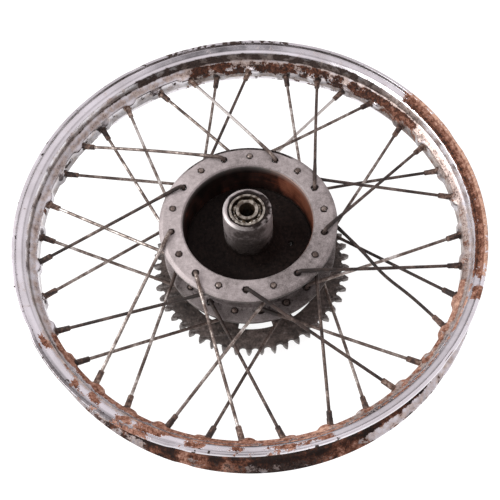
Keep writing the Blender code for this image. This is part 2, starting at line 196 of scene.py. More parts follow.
def divided(outline, longest):
    """The same closed outline with its long straight runs cut up."""
    points = []
    for index, here in enumerate(outline):
        after = outline[(index + 1) % len(outline)]
        pieces = max(1, ceil(dist(here, after) / longest))
        for share in (piece / pieces for piece in range(pieces)):
            points.append(tuple(a + (b - a) * share for a, b in zip(here, after)))
    return points


def lathe(section, longest, steps, curve_steps=4):
    """Points and faces of a ring turned from a closed section of (radius, z, corner radius)."""
    profile = divided(rounded(section, curve_steps), longest)
    radii, heights = np.array(profile).T
    turns = np.arange(steps) * tau / steps
    points = [np.outer(np.cos(turns), radii), np.outer(np.sin(turns), radii), np.tile(heights, (steps, 1))]
    here = np.arange(steps * len(profile)).reshape(steps, -1)
    there = np.roll(here, -1, axis=0)
    faces = np.stack([here, there, np.roll(there, -1, axis=1), np.roll(here, -1, axis=1)], axis=2)
    return np.stack(points, axis=2).reshape(-1, 3), faces.reshape(-1, 4).tolist()


def mirrored(half):
    """A whole section from the half of it above the middle plane."""
    return half + [(radius, -z, curve) for radius, z, curve in reversed(half)]


def tube(centres, frames, rings):
    """Points and faces of a closed bar with one ring of points for each centre."""
    points = []
    for centre, (across, third), ring in zip(centres, frames, rings):
        points.extend(centre + across * a + third * b for a, b in ring)
    sides = len(rings[0])
    last = len(points) - sides
    faces = []
    for here in range(0, last, sides):
        there = here + sides
        for side in range(sides):
            after = (side + 1) % sides
            faces.append((here + side, here + after, there + after, there + side))
    faces.append(tuple(range(sides)))
    faces.append(tuple(range(last, last + sides)))
    return points, faces


def stacked(start, along, across, rows):
    """A straight bar, from (distance, outline) rows."""
    centres = [start + along * distance for distance, _ in rows]
    return tube(centres, [(across, along.cross(across))] * len(rows), [ring for _, ring in rows])


def bar(start, along, stations, sides):
    """A straight stepped round bar, from (distance, radius) stations."""
    rows = [(distance, circle(radius, sides)) for distance, radius in stations]
    return stacked(start, along, along.orthogonal().normalized(), rows)


def circle(radius, sides, x=0, y=0):
    turns = [tau * side / sides for side in range(sides)]
    return [(x + radius * cos(turn), y + radius * sin(turn)) for turn in turns]


def flatted(radius, from_middle, flats, sides):
    """A circle cut by evenly spaced flats that lie some way from its middle."""
    ring = []
    for side in range(sides):
        turn = tau * side / sides
        off_flat = (turn + pi / flats) % (tau / flats) - pi / flats
        reach = min(radius, from_middle / cos(off_flat))
        ring.append((reach * cos(turn), reach * sin(turn)))
    return ring


def taken(shape, offset, scale=1):
    """Points and faces of a bmesh, scaled down and moved. Frees it."""
    points = [vertex.co / scale + offset for vertex in shape.verts]
    faces = [tuple(vertex.index for vertex in face.verts) for face in shape.faces]
    shape.free()
    return points, faces


def joined(shapes):
    points = []
    faces = []
    for some_points, some_faces in shapes:
        first = len(points)
        points.extend(some_points)
        faces.extend(tuple(first + index for index in face) for face in some_faces)
    return points, faces


def linked(name, data):
    made = bpy.data.objects.new(name, data)
    bpy.context.scene.collection.objects.link(made)
    return made


def bare_mesh(name, points, faces):
    """A mesh object in the wheel's place, from points in millimetres about the rim's middle plane."""
    mesh = bpy.data.meshes.new(name)
    mesh.from_pydata(((np.array(points, dtype=float) + UP * RIM_PLANE) * MM).tolist(), [], faces)
    shape = bmesh.new()
    shape.from_mesh(mesh)
    bmesh.ops.recalc_face_normals(shape, faces=shape.faces)
    shape.to_mesh(mesh)
    shape.free()
    return linked(name, mesh)


def carve(thing, operation, shapes):
    """Cuts shapes out of a thing, or joins them on, for good."""
    tool = bare_mesh("tool", *joined(shapes))
    modifier = thing.modifiers.new("carve", "BOOLEAN")
    modifier.operation = operation
    modifier.solver = "MANIFOLD"
    modifier.object = tool
    seen = thing.evaluated_get(bpy.context.evaluated_depsgraph_get())
    thing.data = bpy.data.meshes.new_from_object(seen)
    thing.modifiers.clear()
    bpy.data.objects.remove(tool)


def piece(name, shape, look, nodes, slot, body=WHEEL, crisp=35):
    """A finished piece: smooth where it is round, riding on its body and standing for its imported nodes."""
    return finish_piece(bare_mesh(name, *shape), look, nodes, body, crisp)


def finish_piece(thing, look, nodes, body=WHEEL, crisp=35):
    thing.data.materials.clear()
    thing.data.materials.append(look)
    thing.data.shade_smooth()
    thing.data.set_sharp_from_angle(angle=radians(crisp))
    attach(thing, body)
    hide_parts(*nodes)
    return thing


# ---- places and paint ----


def vectors(items, name):
    values = np.empty(len(items) * 3)
    items.foreach_get(name, values)
    return values.reshape(-1, 3)


def round_places(points):
    """Radius, angle in degrees and height of each point."""
    x, y, z = points.T
    return np.hypot(x, y), np.degrees(np.arctan2(y, x)), z


def places(thing):
    """Radius, angle in degrees and height in millimetres of each vertex."""
    radius, angle, z = round_places(vectors(thing.data.vertices, "co") / MM)
    return radius, angle, z - RIM_PLANE


def facing(thing):
    """How far each vertex's normal points away from the axis."""
    normals = vectors(thing.data.vertex_normals, "vector")[:, :2]
    points = vectors(thing.data.vertices, "co")[:, :2]
    outwards = points / np.maximum(np.hypot(points[:, 0], points[:, 1]), 1e-6)[:, None]
    return (normals * outwards).sum(axis=1)


def flat(radius, angle):
    """x and y of places in the wheel's plane."""
    return radius * np.cos(np.radians(angle)), radius * np.sin(np.radians(angle))


def paint(thing, name, values):
    """Stores one number for each vertex, for the thing's material to read."""
    layer = thing.data.attributes.new(name, "FLOAT", "POINT")
    values = np.broadcast_to(np.clip(values, 0, 1), len(thing.data.vertices))
    layer.data.foreach_set("value", values.astype(np.float32))


def arc(angles, middle, half_width, soft=8):
    """1 on a stretch of the wheel, falling to 0 over soft degrees at each end."""
    off = np.abs((angles - middle + 180) % 360 - 180)
    return 1 - smoothstep(off, half_width, half_width + soft)


def band(values, low, high, soft=1):
    """1 between two values, falling to 0 over soft at each end."""
    return smoothstep(values, low - soft, low) * (1 - smoothstep(values, high, high + soft))


def lumps(thing, size, seed):
    """Smooth noise from -1 to 1 at each vertex, with lumps of about size millimetres."""
    offset = Vector((seed * 17, seed * 5, seed * 11))
    scale = 1 / (size * MM)
    return np.array([noise.noise(vertex.co * scale + offset) for vertex in thing.data.vertices])


# ---- materials ----


class Look:
    """A material being built. Each call adds a node and gives back its output."""

    def __init__(self, name):
        self.material = bpy.data.materials.new(name)
        self.material.use_nodes = True
        self.tree = self.material.node_tree
        self.shader = self.tree.nodes["Principled BSDF"]
        self.here = self.add("TexCoord", "Object", {})

    def put(self, sockets, values):
        for name, value in values.items():
            socket = sockets[name]
            if isinstance(value, bpy.types.NodeSocket):
                self.tree.links.new(value, socket)
            elif isinstance(value, tuple) and socket.type == "RGBA":
                socket.default_value = (*value, 1)
            else:
                socket.default_value = value

    def add(self, kind, output, inputs, **settings):
        node = self.tree.nodes.new("ShaderNode" + kind)
        for name, value in settings.items():
            setattr(node, name, value)
        self.put(node.inputs, inputs)
        return node.outputs[output]

    def noise(self, size, detail=4, rough=0.6, where=None):
        """Noise with features of about size millimetres."""
        inputs = {"Vector": where or self.here, "Scale": 1 / (size * MM)}
        return self.add("TexNoise", "Fac", inputs | {"Detail": detail, "Roughness": rough})

    def dots(self, size):
        """Distance to the nearest of many points about size millimetres apart, 0 at the point."""
        return self.add("TexVoronoi", "Distance", {"Vector": self.here, "Scale": 1 / (size * MM)})

    def stretched(self, x, y, z):
        """Object coordinates scaled along each axis, for streaks."""
        return self.add("Mapping", "Vector", {"Vector": self.here, "Scale": (x, y, z)})

    def painted(self, name):
        return self.add("Attribute", "Fac", {}, attribute_name=name)

    def math(self, operation, a, b, c=0):
        return self.add("Math", "Value", {0: a, 1: b, 2: c}, operation=operation)

    def times(self, a, b):
        return self.math("MULTIPLY", a, b)

    def times_plus(self, a, b, c):
        return self.math("MULTIPLY_ADD", a, b, c)

    def around(self, level, *noises):
        """A level moved up and down by noises, each with its own strength."""
        for noise_value, strength in noises:
            level = self.times_plus(self.math("SUBTRACT", noise_value, 0.5), strength, level)
        return level

    def step(self, value, low, high, to_low=0, to_high=1):
        """A number that goes smoothly from to_low to to_high as the value goes from low to high."""
        inputs = {"Value": value, "From Min": low, "From Max": high, "To Min": to_low, "To Max": to_high}
        return self.add("MapRange", "Result", inputs, interpolation_type="SMOOTHSTEP")

    def mix(self, share, a, b):
        """A colour between a and b."""
        return self.add("Mix", 2, {0: share, 6: a, 7: b}, data_type="RGBA")

    def over(self, colour, share, strength, tint):
        """A colour with a tint laid over it, never stronger than strength."""
        return self.mix(self.times(share, strength), colour, tint)

    def blend(self, share, a, b):
        """A number between a and b."""
        return self.add("Mix", 0, {0: share, 2: a, 3: b}, data_type="FLOAT")

    def ramp(self, value, *stops):
        """A colour from stops of (place, red, green, blue)."""
        colour = self.add("ValToRGB", "Color", {"Fac": value})
        fill_ramp(colour.node.color_ramp, stops)
        return colour

    def bump(self, height, depth, strength=1):
        inputs = {"Strength": strength, "Distance": depth * MM, "Height": height}
        return self.add("Bump", "Normal", inputs)

    def done(self, colour, rough, metal, normal=None, specular=0.5):
        inputs = {"Base Color": colour, "Roughness": rough, "Metallic": metal}
        self.put(self.shader.inputs, inputs | {"Specular IOR Level": specular})
        if normal:
            self.put(self.shader.inputs, {"Normal": normal})
        return self.material


def fill_ramp(ramp, stops):
    while len(ramp.elements) < len(stops):
        ramp.elements.new(0.5)
    for element, (place, *colour) in zip(ramp.elements, stops):
        element.position = place
        element.color = (*colour, 1)


RUST = (
    (0.1, 0.016, 0.008, 0.006), (0.3, 0.05, 0.019, 0.011), (0.48, 0.125, 0.046, 0.026),
    (0.64, 0.25, 0.115, 0.075), (0.8, 0.38, 0.21, 0.155), (0.96, 0.6, 0.37, 0.27),
)


def chrome_look():
    """Chrome gone hazy, stained brown, pitted, lifted off by rust in flakes, with soiling and painted shade
    in the folds, and a dull layer of painted shade over its reflections.
    """
    look = Look("worn_chrome")
    stain = look.painted("stain")
    coarse = look.noise(9, 5, 0.62)
    blot = look.noise(4, 5, 0.68)
    fine = look.noise(1.3, 3, 0.6)
    haze = look.noise(45, 5, 0.6)
    colour = look.ramp(haze, (0.35, 0.7, 0.67, 0.7), (0.5, 0.81, 0.78, 0.82), (0.65, 0.9, 0.87, 0.92))
    stained = look.step(look.around(stain, (coarse, 1.6), (blot, 0.9), (fine, 0.5)), 0.2, 0.8)
    brown = look.around(0.5, (blot, 1.6), (fine, 1))
    brown = look.ramp(brown, (0.2, 0.16, 0.085, 0.058), (0.45, 0.44, 0.31, 0.25), (0.75, 0.72, 0.6, 0.53))
    colour = look.over(colour, stained, 0.85, brown)
    # Painted shade: the dull layer darkens the chrome's reflections in the creases and folds, on the lower
    # well and on the lips.
    dull_film_and_shade = look.times(look.painted("dull_film_and_shade"), look.step(blot, 0.25, 0.65, 1, 0.72))
    colour = look.over(colour, dull_film_and_shade, 0.9, (0.06, 0.047, 0.044))
    pit_radius = look.times_plus(stain, 0.34, look.times_plus(coarse, 0.8, -0.46))
    pitted = look.step(look.math("SUBTRACT", look.dots(2.1), pit_radius), -0.05, 0.04, 1, 0)
    colour = look.over(colour, pitted, 0.85, (0.06, 0.028, 0.02))
    rusty = look.step(look.around(look.painted("rust"), (coarse, 1.7), (fine, 0.8)), 0.46, 0.56)
    rust_tone = look.around(look.painted("tone"), (blot, 1.4), (fine, 0.8))
    colour = look.mix(rusty, colour, look.ramp(rust_tone, *RUST))
    # Soiling mixed with painted shade, as painted on the rim.
    grime_and_shade_share = look.step(look.around(look.painted("grime_and_shade"), (blot, 1.8), (coarse, 0.8)), 0.34, 0.64)
    grime_and_shade_colour = look.ramp(fine, (0.35, 0.014, 0.01, 0.009), (0.65, 0.075, 0.05, 0.042))
    colour = look.mix(grime_and_shade_share, colour, grime_and_shade_colour)
    cover = look.math("MAXIMUM", rusty, look.math("MAXIMUM", grime_and_shade_share, pitted))
    metal = look.blend(cover, look.blend(stained, 1, 0.75), 0)
    bare_rough = look.blend(stained, look.step(haze, 0.35, 0.65, 0.13, 0.3), 0.42)
    rough = look.blend(cover, bare_rough, look.step(fine, 0.35, 0.65, 0.6, 0.9))
    height = look.times_plus(rusty, look.times_plus(fine, 0.8, 0.35), look.times(fine, 0.06))
    height = look.times_plus(pitted, -0.8, height)
    height = look.times_plus(look.times(stained, blot), 0.25, height)
    return look.done(colour, rough, metal, look.bump(height, 0.25, 0.8), look.blend(cover, 0.5, 0.2))


def spoke_look():
    """Old plain steel wire: brown patina, darker bands, and worn bright streaks along it."""
    look = Look("browned_steel")
    grain = look.noise(2.2, 4, 0.65)
    value = look.around(look.painted("tone"), (look.noise(14, 4, 0.6), 1.5), (grain, 0.8))
    colour = look.ramp(
        value,
        (0.05, 0.018, 0.012, 0.01), (0.3, 0.055, 0.036, 0.029), (0.5, 0.13, 0.095, 0.08),
        (0.7, 0.34, 0.29, 0.26), (0.9, 0.66, 0.62, 0.59),
    )
    spots = look.step(look.noise(3.2, 5, 0.7), 0.6, 0.7)
    colour = look.over(colour, spots, 0.6, (0.13, 0.055, 0.03))
    metal = look.step(value, 0.3, 0.75, 0.25, 0.95)
    return look.done(colour, look.step(value, 0.2, 0.9, 0.62, 0.34), metal, look.bump(grain, 0.12, 0.7))


def nipple_look():
    """Nipples of plated brass gone dark, with brown and ochre crust."""
    look = Look("dark_nipple")
    grain = look.noise(1.5, 4, 0.65)
    patch = look.noise(5, 4, 0.65)
    value = look.around(look.painted("tone"), (patch, 1.9), (grain, 0.8))
    colour = look.ramp(
        value,
        (0.15, 0.018, 0.011, 0.009), (0.42, 0.06, 0.034, 0.026), (0.65, 0.19, 0.115, 0.085),
        (0.9, 0.46, 0.38, 0.33),
    )
    metal = look.step(value, 0.4, 0.9, 0.2, 0.9)
    return look.done(colour, look.step(grain, 0.3, 0.7, 0.42, 0.72), metal, look.bump(patch, 0.3, 0.6))


def casting_look():
    """Oxidised cast aluminium: matt, mottled, a fine sandy grain, stained where soiling gathers and darkened
    with painted shade in its hollows, its tone carrying painted light and its worn edges a painted highlight.
    """
    look = Look("cast_aluminium")
    polish_and_highlight = look.painted("polish_and_highlight")
    grain = look.noise(0.9, 3, 0.6)
    mottle = look.noise(4.5, 5, 0.68)
    cloud = look.noise(30, 4, 0.55)
    colour = look.ramp(
        look.around(look.painted("tone"), (cloud, 0.5), (mottle, 0.7), (grain, 0.5)),
        (0.05, 0.07, 0.057, 0.052), (0.35, 0.275, 0.24, 0.235), (0.65, 0.48, 0.425, 0.42),
        (0.95, 0.69, 0.63, 0.635),
    )
    # A painted highlight on the boss's lit left edge and on the drum floor's pale ring, over real worn metal.
    colour = look.over(colour, polish_and_highlight, 0.8, (0.82, 0.8, 0.79))
    # Soiling mixed with painted shade, near black in the drum, the bore and between the flanges.
    grime_and_shade_share = look.step(look.around(look.painted("grime_and_shade"), (mottle, 1.3), (cloud, 0.5)), 0.28, 0.8)
    grime_and_shade_colour = look.ramp(look.noise(3, 4), (0.35, 0.004, 0.0022, 0.0018), (0.65, 0.018, 0.011, 0.009))
    colour = look.over(colour, grime_and_shade_share, 0.985, grime_and_shade_colour)
    specks = look.times(look.step(look.dots(2.6), 0.08, 0.2, 1, 0), look.step(mottle, 0.48, 0.6))
    colour = look.over(colour, specks, 0.65, (0.09, 0.065, 0.058))
    metal = look.blend(grime_and_shade_share, look.blend(polish_and_highlight, 0.4, 0.85), 0)
    rough = look.blend(grime_and_shade_share, look.blend(polish_and_highlight, look.step(mottle, 0.35, 0.65, 0.46, 0.62), 0.3), 0.8)
    height = look.times_plus(mottle, 0.5, look.times(grain, 0.35))
    height = look.times_plus(specks, -0.5, height)
    return look.done(colour, rough, metal, look.bump(height, 0.22, 0.8), look.blend(grime_and_shade_share, 0.5, 0.12))


def drum_look():
    """The drum's iron liner: red rust, painted lighter on the lit right side as painted light, darker towards
    the bottom, a painted highlight on its worn top edge, faint turned rings.
    """
    look = Look("rusty_liner")
    rings = look.noise(2, 3, 0.5, look.stretched(0.04, 0.04, 1))
    patch = look.noise(12, 5, 0.6, look.stretched(1, 1, 0.5))
    colour = look.ramp(
        look.around(look.painted("rust"), (patch, 1.3), (rings, 0.7)),
        (0.1, 0.008, 0.005, 0.004), (0.4, 0.034, 0.013, 0.009), (0.65, 0.15, 0.042, 0.022),
        (0.9, 0.3, 0.105, 0.058),
    )
    # Painted highlight on the worn top edge, brightest on the right.
    polish_and_highlight = look.painted("polish_and_highlight")
    colour = look.mix(polish_and_highlight, colour, (0.62, 0.58, 0.54))
    rough = look.step(patch, 0.3, 0.7, 0.38, 0.62)
    return look.done(colour, rough, look.math("MAXIMUM", polish_and_highlight, 0.25), look.bump(rings, 0.1, 0.5))


def race_look():
    """Ground bearing steel under old grease."""
    look = Look("bearing_steel")
    smear = look.noise(3, 5, 0.65)
    greasy = look.step(look.around(look.painted("grime_and_shade"), (smear, 1.2)), 0.25, 0.75)
    steel = look.ramp(smear, (0.3, 0.38, 0.34, 0.29), (0.7, 0.66, 0.61, 0.55))
    oil = look.ramp(smear, (0.35, 0.012, 0.008, 0.006), (0.7, 0.075, 0.048, 0.028))
    colour = look.mix(greasy, steel, oil)
    metal = look.blend(greasy, 0.95, 0.15)
    return look.done(colour, look.blend(greasy, 0.26, 0.45), metal, look.bump(smear, 0.15, 0.6))


def cage_look():
    """Balls and pressed cage, half drowned in brown grease."""
    look = Look("greasy_balls")
    smear = look.noise(2.4, 5, 0.6)
    greasy = look.step(smear, 0.34, 0.54)
    oil = look.ramp(smear, (0.4, 0.03, 0.02, 0.013), (0.7, 0.16, 0.11, 0.06))
    colour = look.mix(greasy, (0.6, 0.56, 0.5), oil)
    metal = look.blend(greasy, 1, 0.2)
    return look.done(colour, look.blend(greasy, 0.18, 0.42), metal, look.bump(smear, 0.2, 0.5))


def sprocket_look():
    """Steel under baked chain grease and grit, worn clean on the teeth."""
    look = Look("greasy_sprocket")
    clod = look.noise(4.5, 6, 0.7)
    grit = look.noise(1.1, 4, 0.7)
    grease = look.ramp(
        look.around(clod, (look.noise(24, 4, 0.6), 0.7)),
        (0.3, 0.02, 0.015, 0.013), (0.5, 0.065, 0.049, 0.042), (0.68, 0.135, 0.104, 0.092),
        (0.85, 0.25, 0.205, 0.19),
    )
    bare = look.step(look.around(look.painted("polish_and_highlight"), (clod, 1)), 0.35, 0.75)
    steel = look.ramp(grit, (0.3, 0.16, 0.145, 0.135), (0.7, 0.34, 0.32, 0.31))
    normal = look.bump(look.times_plus(grit, 0.35, look.times(clod, 0.9)), 0.6, 0.9)
    metal = look.blend(bare, 0.15, 0.8)
    return look.done(look.mix(bare, grease, steel), look.blend(bare, 0.66, 0.42), metal, normal)


def bolt_look():
    """Zinc gone dull, with dark soiled patches."""
    look = Look("dull_zinc")
    patch = look.noise(5, 5, 0.65)
    colour = look.ramp(patch, (0.3, 0.07, 0.05, 0.04), (0.5, 0.24, 0.22, 0.2), (0.75, 0.42, 0.4, 0.38))
    metal = look.step(patch, 0.35, 0.6, 0.3, 0.9)
    return look.done(colour, look.step(patch, 0.3, 0.7, 0.6, 0.38), metal, look.bump(patch, 0.2, 0.6))


def rubber_look():
    look = Look("old_seal")
    dust = look.noise(3, 5, 0.7)
    colour = look.ramp(dust, (0.35, 0.016, 0.015, 0.015), (0.7, 0.07, 0.06, 0.055))
    return look.done(colour, look.step(dust, 0.3, 0.7, 0.5, 0.75), 0, look.bump(dust, 0.1, 0.5))


# ---- rim ----


def lean(index):
    """1 for a spoke whose hub hole is ahead of its nipple, -1 for one whose hole is behind."""
    return 1 if index % 4 in (1, 2) else -1


def runout(angle):
    """How far the old rim stands outside its nominal radius."""
    return 1.3 - 0.9 * np.sin(np.radians(angle))


def spoke_line(index):
    """A spoke's head, the way its shank leaves it, its elbow's corner, its nipple seat and its direction."""
    top = index % 2 == 0
    outside = index % 4 < 2
    turn = lean(index)
    hole_angle = FIRST_HOLE_ANGLE - index * 360 / SPOKE_COUNT + turn * LACING_ANGLE
    nipple_angle = FIRST_NIPPLE_ANGLE - index * 360 / SPOKE_COUNT + turn * NIPPLE_SHIFT
    nipple_angle += LACING_DRIFT * cos(radians(nipple_angle))
    outer_face = TOP_FLANGE[1] if top else LOW_FLANGE[0]
    inner_face = TOP_FLANGE[0] if top else LOW_FLANGE[1]
    head_face, exit_face = (inner_face, outer_face) if outside else (outer_face, inner_face)
    up = UP if exit_face > head_face else -UP
    corner = polar(FLANGE_HOLE_CIRCLE, hole_angle, exit_face + up.z * (ELBOW_RADIUS + 0.4))
    well = polar(WELL_RADIUS + runout(nipple_angle), nipple_angle, NIPPLE_OFFSET if top else -NIPPLE_OFFSET)
    return Vector((corner.x, corner.y, head_face)), up, corner, well, (well - corner).normalized()


def rim_section():
    """Section of the rolled rim: well, shoulders, bead seats, side walls and curled lips."""
    hub_side = [
        (WELL_RADIUS, 7.2, 3), (216.4, 13.4, 1.6), (217.6, 21.6, 0.8), (220.3, 24.1, 0.6),
        (225.6, 26.3, 0.6), (226.4, RIM_HALF_WIDTH, 0.7), (229.3, RIM_HALF_WIDTH, 1),
        (RIM_RADIUS, 27.4, 0.7),
    ]
    tyre_side = [(227.4, 25.2, 0.8), (219.5, 20.6, 1.6), (218.1, 14, 1.6), (WELL_RADIUS + RIM_SHEET, 8.2, 3)]
    return mirrored(hub_side + tyre_side)


def to_dimple(points, index):
    """Distance of each point from a dimple's crown, along the well, and how far it lies in from the well.

    The crown is beside its nipple, on the side its spoke points to.
    """
    _, _, _, well, _ = spoke_line(index)
    middle = Matrix.Rotation(radians(-DIMPLE_SHIFT * lean(index)), 3, "Z") @ well
    inwards = -np.array((middle.x, middle.y, 0)) / middle.xy.length
    off = points - np.array(middle)
    depth = off @ inwards
    return np.sqrt(np.maximum((off**2).sum(axis=1) - depth**2, 0)), depth, inwards


def press_dimples(points):
    """Pushes the well in towards the hub beside each nipple."""
    for index in range(SPOKE_COUNT):
        away, depth, inwards = to_dimple(points, index)
        rise = DIMPLE_HEIGHT * (1 - smoothstep(away, 3.4, DIMPLE_FOOT)) * (np.abs(depth) < 12)
        points += np.outer(rise, inwards)
    return points


def knock_about(points):
    """Small dents and waves of a rim that has met many kerbs."""
    radius, angle, z = round_places(points)
    scale = 1 + runout(angle) / radius
    dents = ((205, 2.6, 0.9), (251, 2, 0.6), (118, 2.4, 0.7), (20, 3, 0.8), (318, 2.2, 0.7))
    for middle, half_width, depth in dents:
        hit = arc(angle, middle, half_width * 0.3, half_width) * smoothstep(radius, 222, 229)
        scale *= 1 - depth * hit / radius
    bend = LIP_BEND * np.exp(-(((angle % 360 - LIP_BEND_ANGLE) / 32) ** 2))
    scale *= 1 + bend * smoothstep(radius, 216, 226) * np.sign(z) / radius
    turn = np.radians(angle)
    wave = 0.3 * np.sin(2 * turn + 0.6) + 0.22 * np.sin(5 * turn + 2) + 0.12 * np.sin(13 * turn)
    points[:, 2] += wave * smoothstep(radius, 217, 227)
    points[:, :2] *= scale[:, None]
    return points


def paint_rim(rim):
    """Where the rim is rusty, stained, grimy or flaked, after an old wheel that stood outside, and where
    painted shade darkens it.
    """
    radius, angle, z = places(rim)
    at = partial(arc, angle)
    radius = radius - runout(angle)
    outwards = facing(rim)
    points = np.stack([*flat(radius, angle), z], axis=1)
    away = np.min([to_dimple(points, index)[0] for index in range(SPOKE_COUNT)], axis=0)
    crown = 1 - smoothstep(away, 3, 7.5)
    hub_side = smoothstep(-outwards, -0.25, 0.15)
    outside = smoothstep(outwards, 0.05, 0.45)
    tyre_side = outside * (radius < 228.6)
    well = (1 - smoothstep(radius, 212.5, 216)) * hub_side
    rusty_well = hub_side * band(z, -1.5, 11.5, 1.5) * (radius < 216)
    shoulder = band(radius, 211, 216.6, 1) * hub_side
    seat = band(z, 13.5, 21.4, 0.8) * (radius < 218.2) * hub_side
    upper = z > 20
    step = band(radius, 217.6, 220, 0.4) * upper
    crease = band(radius, 220, 220.6, 0.4) * upper
    wall = band(radius, 220.8, 225.4, 0.5) * upper
    fold = band(radius, 225.4, 226, 0.4) * upper
    lip = smoothstep(radius, 225.4, 226.4) * upper
    channel = tyre_side * smoothstep(z, -24, -21.5)
    lower_lip = outside * (1 - smoothstep(z, -24, -21.5))
    speck = lumps(rim, 11, 1)
    blotch = lumps(rim, 34, 2)
    chip = lumps(rim, 4.5, 3)

    far = at(68, 34, 6)
    far_seat = at(84, 30, 14)
    right = at(5, 34, 10)
    right_wall = at(10, 25, 10)
    near_right = at(-48, 22, 14)
    near_left = at(-114, 36, 8)
    left = at(158, 54, 8)
    bright_low = np.maximum((1 + 0.3 * chip) * at(-37, 24, 10), 0.5 * at(-132, 9))

    rust = 0.04 + 0.05 * blotch
    rust += rusty_well * far * (0.64 + 0.36 * speck) * (1 - 0.75 * crown)
    rust += well * right * (0.2 + 0.3 * speck)
    rust += (well + step) * near_right * (0.53 + 0.3 * speck)
    rust += (well + step * (1 - 0.55 * at(-138, 14, 10))) * near_left * (0.8 + 0.2 * speck)
    rust += wall * near_left * (0.48 + 0.5 * speck + 0.6 * blotch)
    rust += (band(radius, 218.5, 226, 0.5) * upper + lip * 0.8) * right_wall * (0.84 + 0.15 * speck)
    rust += (wall + lip) * at(-24, 1.4, 0.8) * 0.7
    rust += channel * (1.15 + 0.1 * blotch) * (1 - 0.85 * at(-20, 14, 12))
    rust += lower_lip * (0.66 + 0.5 * speck) * (1 - 0.8 * bright_low)
    rust += smoothstep(-z, 7.6, 14) * (0.3 + 0.3 * speck) * (1 - tyre_side)
    rust += lip * near_left * (0.34 + 0.3 * speck + 0.5 * blotch)
    rust += at(166, 1.6, 1.2) * well * crown * 0.8
    paint(rim, "rust", rust)

    stain = 0.08 + 0.08 * blotch
    stain += well * (0.3 * left + 0.58 * far + 0.66 * right + 0.72 * near_right + 0.3 * near_left)
    stain += (shoulder + seat) * (0.26 * left + 0.42 * far + 0.2 * right + 0.2 * near_right)
    stain += step * 0.6 * near_left + lip * 0.04 * left + wall * 0.08 * far
    stain += tyre_side * (0.75 - 0.35 * bright_low) - crown * 0.3 * (far + right + left)
    paint(rim, "stain", stain)

    # Painted shade, mostly: the dull layer darkens the chrome's reflections, as dark lines in the crease and
    # the fold and as dimmer patches on the lower well, the seats, the shoulders, the lips, the lower lip and
    # the near wall.
    dull_film_and_shade = 0.02 + crease * 0.6 * (1 - 0.2 * left) + fold * 0.44 * (1 - right_wall) * (1 - 0.6 * left)
    dull_film_and_shade += well * (1 - smoothstep(z, -1, 6)) * (0.86 * far + 0.66 * left + 0.36 * right)
    dull_film_and_shade += well * ((0.32 + 0.3 * speck) * right + 0.26 * at(136, 20, 10))
    dull_film_and_shade += seat * (far_seat * (1 + 0.2 * speck) + 0.1 * right) + shoulder * (0.22 * left + 0.5 * far)
    dull_film_and_shade += band(z, 13.6, 17.6, 1.2) * hub_side * (radius < 218.4) * at(172, 52, 14) * 0.66
    dull_film_and_shade += lip * (0.3 * at(-120, 26, 14) + 0.22 * at(-139, 12) + 0.34 * at(95, 44, 20))
    dull_film_and_shade += lip * smoothstep(radius, 227, 229) * 0.5 * at(-137, 14)
    dull_film_and_shade += wall * (0.09 * far + 0.26 * at(-44, 24, 12))
    dull_film_and_shade += lower_lip * (1 + 0.2 * speck) * (1 - 0.85 * bright_low)
    paint(rim, "dull_film_and_shade", dull_film_and_shade)

    between = smoothstep(away, 7.5, 12) * smoothstep(z, -2.5, 0.5)
    # Partly real soiling on the lips and their chips, and partly painted shade: the dark bands on the far
    # seat and the shoulder step, and the dark patches between the dimples.
    grime_and_shade = 0.04 + 0.08 * speck
    grime_and_shade += well * between * band(z, 0.5, 5.5, 1) * at(124, 30, 6) * (0.4 + 0.5 * speck)
    grime_and_shade += seat * far_seat * (0.6 + 1 * speck)
    grime_and_shade += band(z, 12.8, 14.4, 0.5) * hub_side * (radius < 218) * (0.26 + 0.4 * speck) * (left + far)
    grime_and_shade += lip * at(92, 15, 5) * (0.46 + 0.9 * chip)
    grime_and_shade += lip * smoothstep(chip, 0.4, 0.5) * at(170, 110, 20) * 0.7
    grime_and_shade += lip * smoothstep(outwards, 0.2, 0.6) * right_wall * (0.3 + 0.5 * chip)
    grime_and_shade += channel * 0.08 + lower_lip * at(-88, 9) * 0.4
    paint(rim, "grime_and_shade", grime_and_shade)

    ochre = 0.46 * at(-107, 2.5, 3) + 0.4 * at(-97, 2, 2.5) + 0.5 * speck
    # The lips' rust is painted lighter, partly as a painted highlight on their rounded tops, strongest on the
    # right.
    tone = 0.38 + 0.1 * blotch + wall * 0.19 + lip * 0.25 - channel * 0.33 - lower_lip * 0.22
    tone += (channel + lower_lip) * ochre + (channel * 0.1 + lower_lip * 0.26) * at(-62, 12, 10)
    tone += right_wall * (lip * 0.3 + wall * 0.06 - band(radius, 218, 223.2, 0.5) * upper * 0.15)
    tone += (well + step) * (0.2 * right + 0.24 * near_right + 0.28 * near_left) - rusty_well * far * 0.1
    paint(rim, "tone", tone)


def make_rim(look):
    points, faces = lathe(rim_section(), 1.7, RIM_STEPS)
    rim = bare_mesh("rim_shell", press_dimples(knock_about(points)), faces)
    holes = []
    for index in range(SPOKE_COUNT):
        _, _, _, well, along = spoke_line(index)
        holes.append(bar(well, along, [(-9, NIPPLE_HOLE_RADIUS), (7, NIPPLE_HOLE_RADIUS)], 20))
    outwards = polar(1, VALVE_ANGLE)
    holes.append(bar(outwards * WELL_RADIUS, outwards, [(-6, VALVE_HOLE_RADIUS), (9, VALVE_HOLE_RADIUS)], 32))
    carve(rim, "DIFFERENCE", holes)
    finish_piece(rim, look, ["rim"])
    paint_rim(rim)


# ---- spokes ----


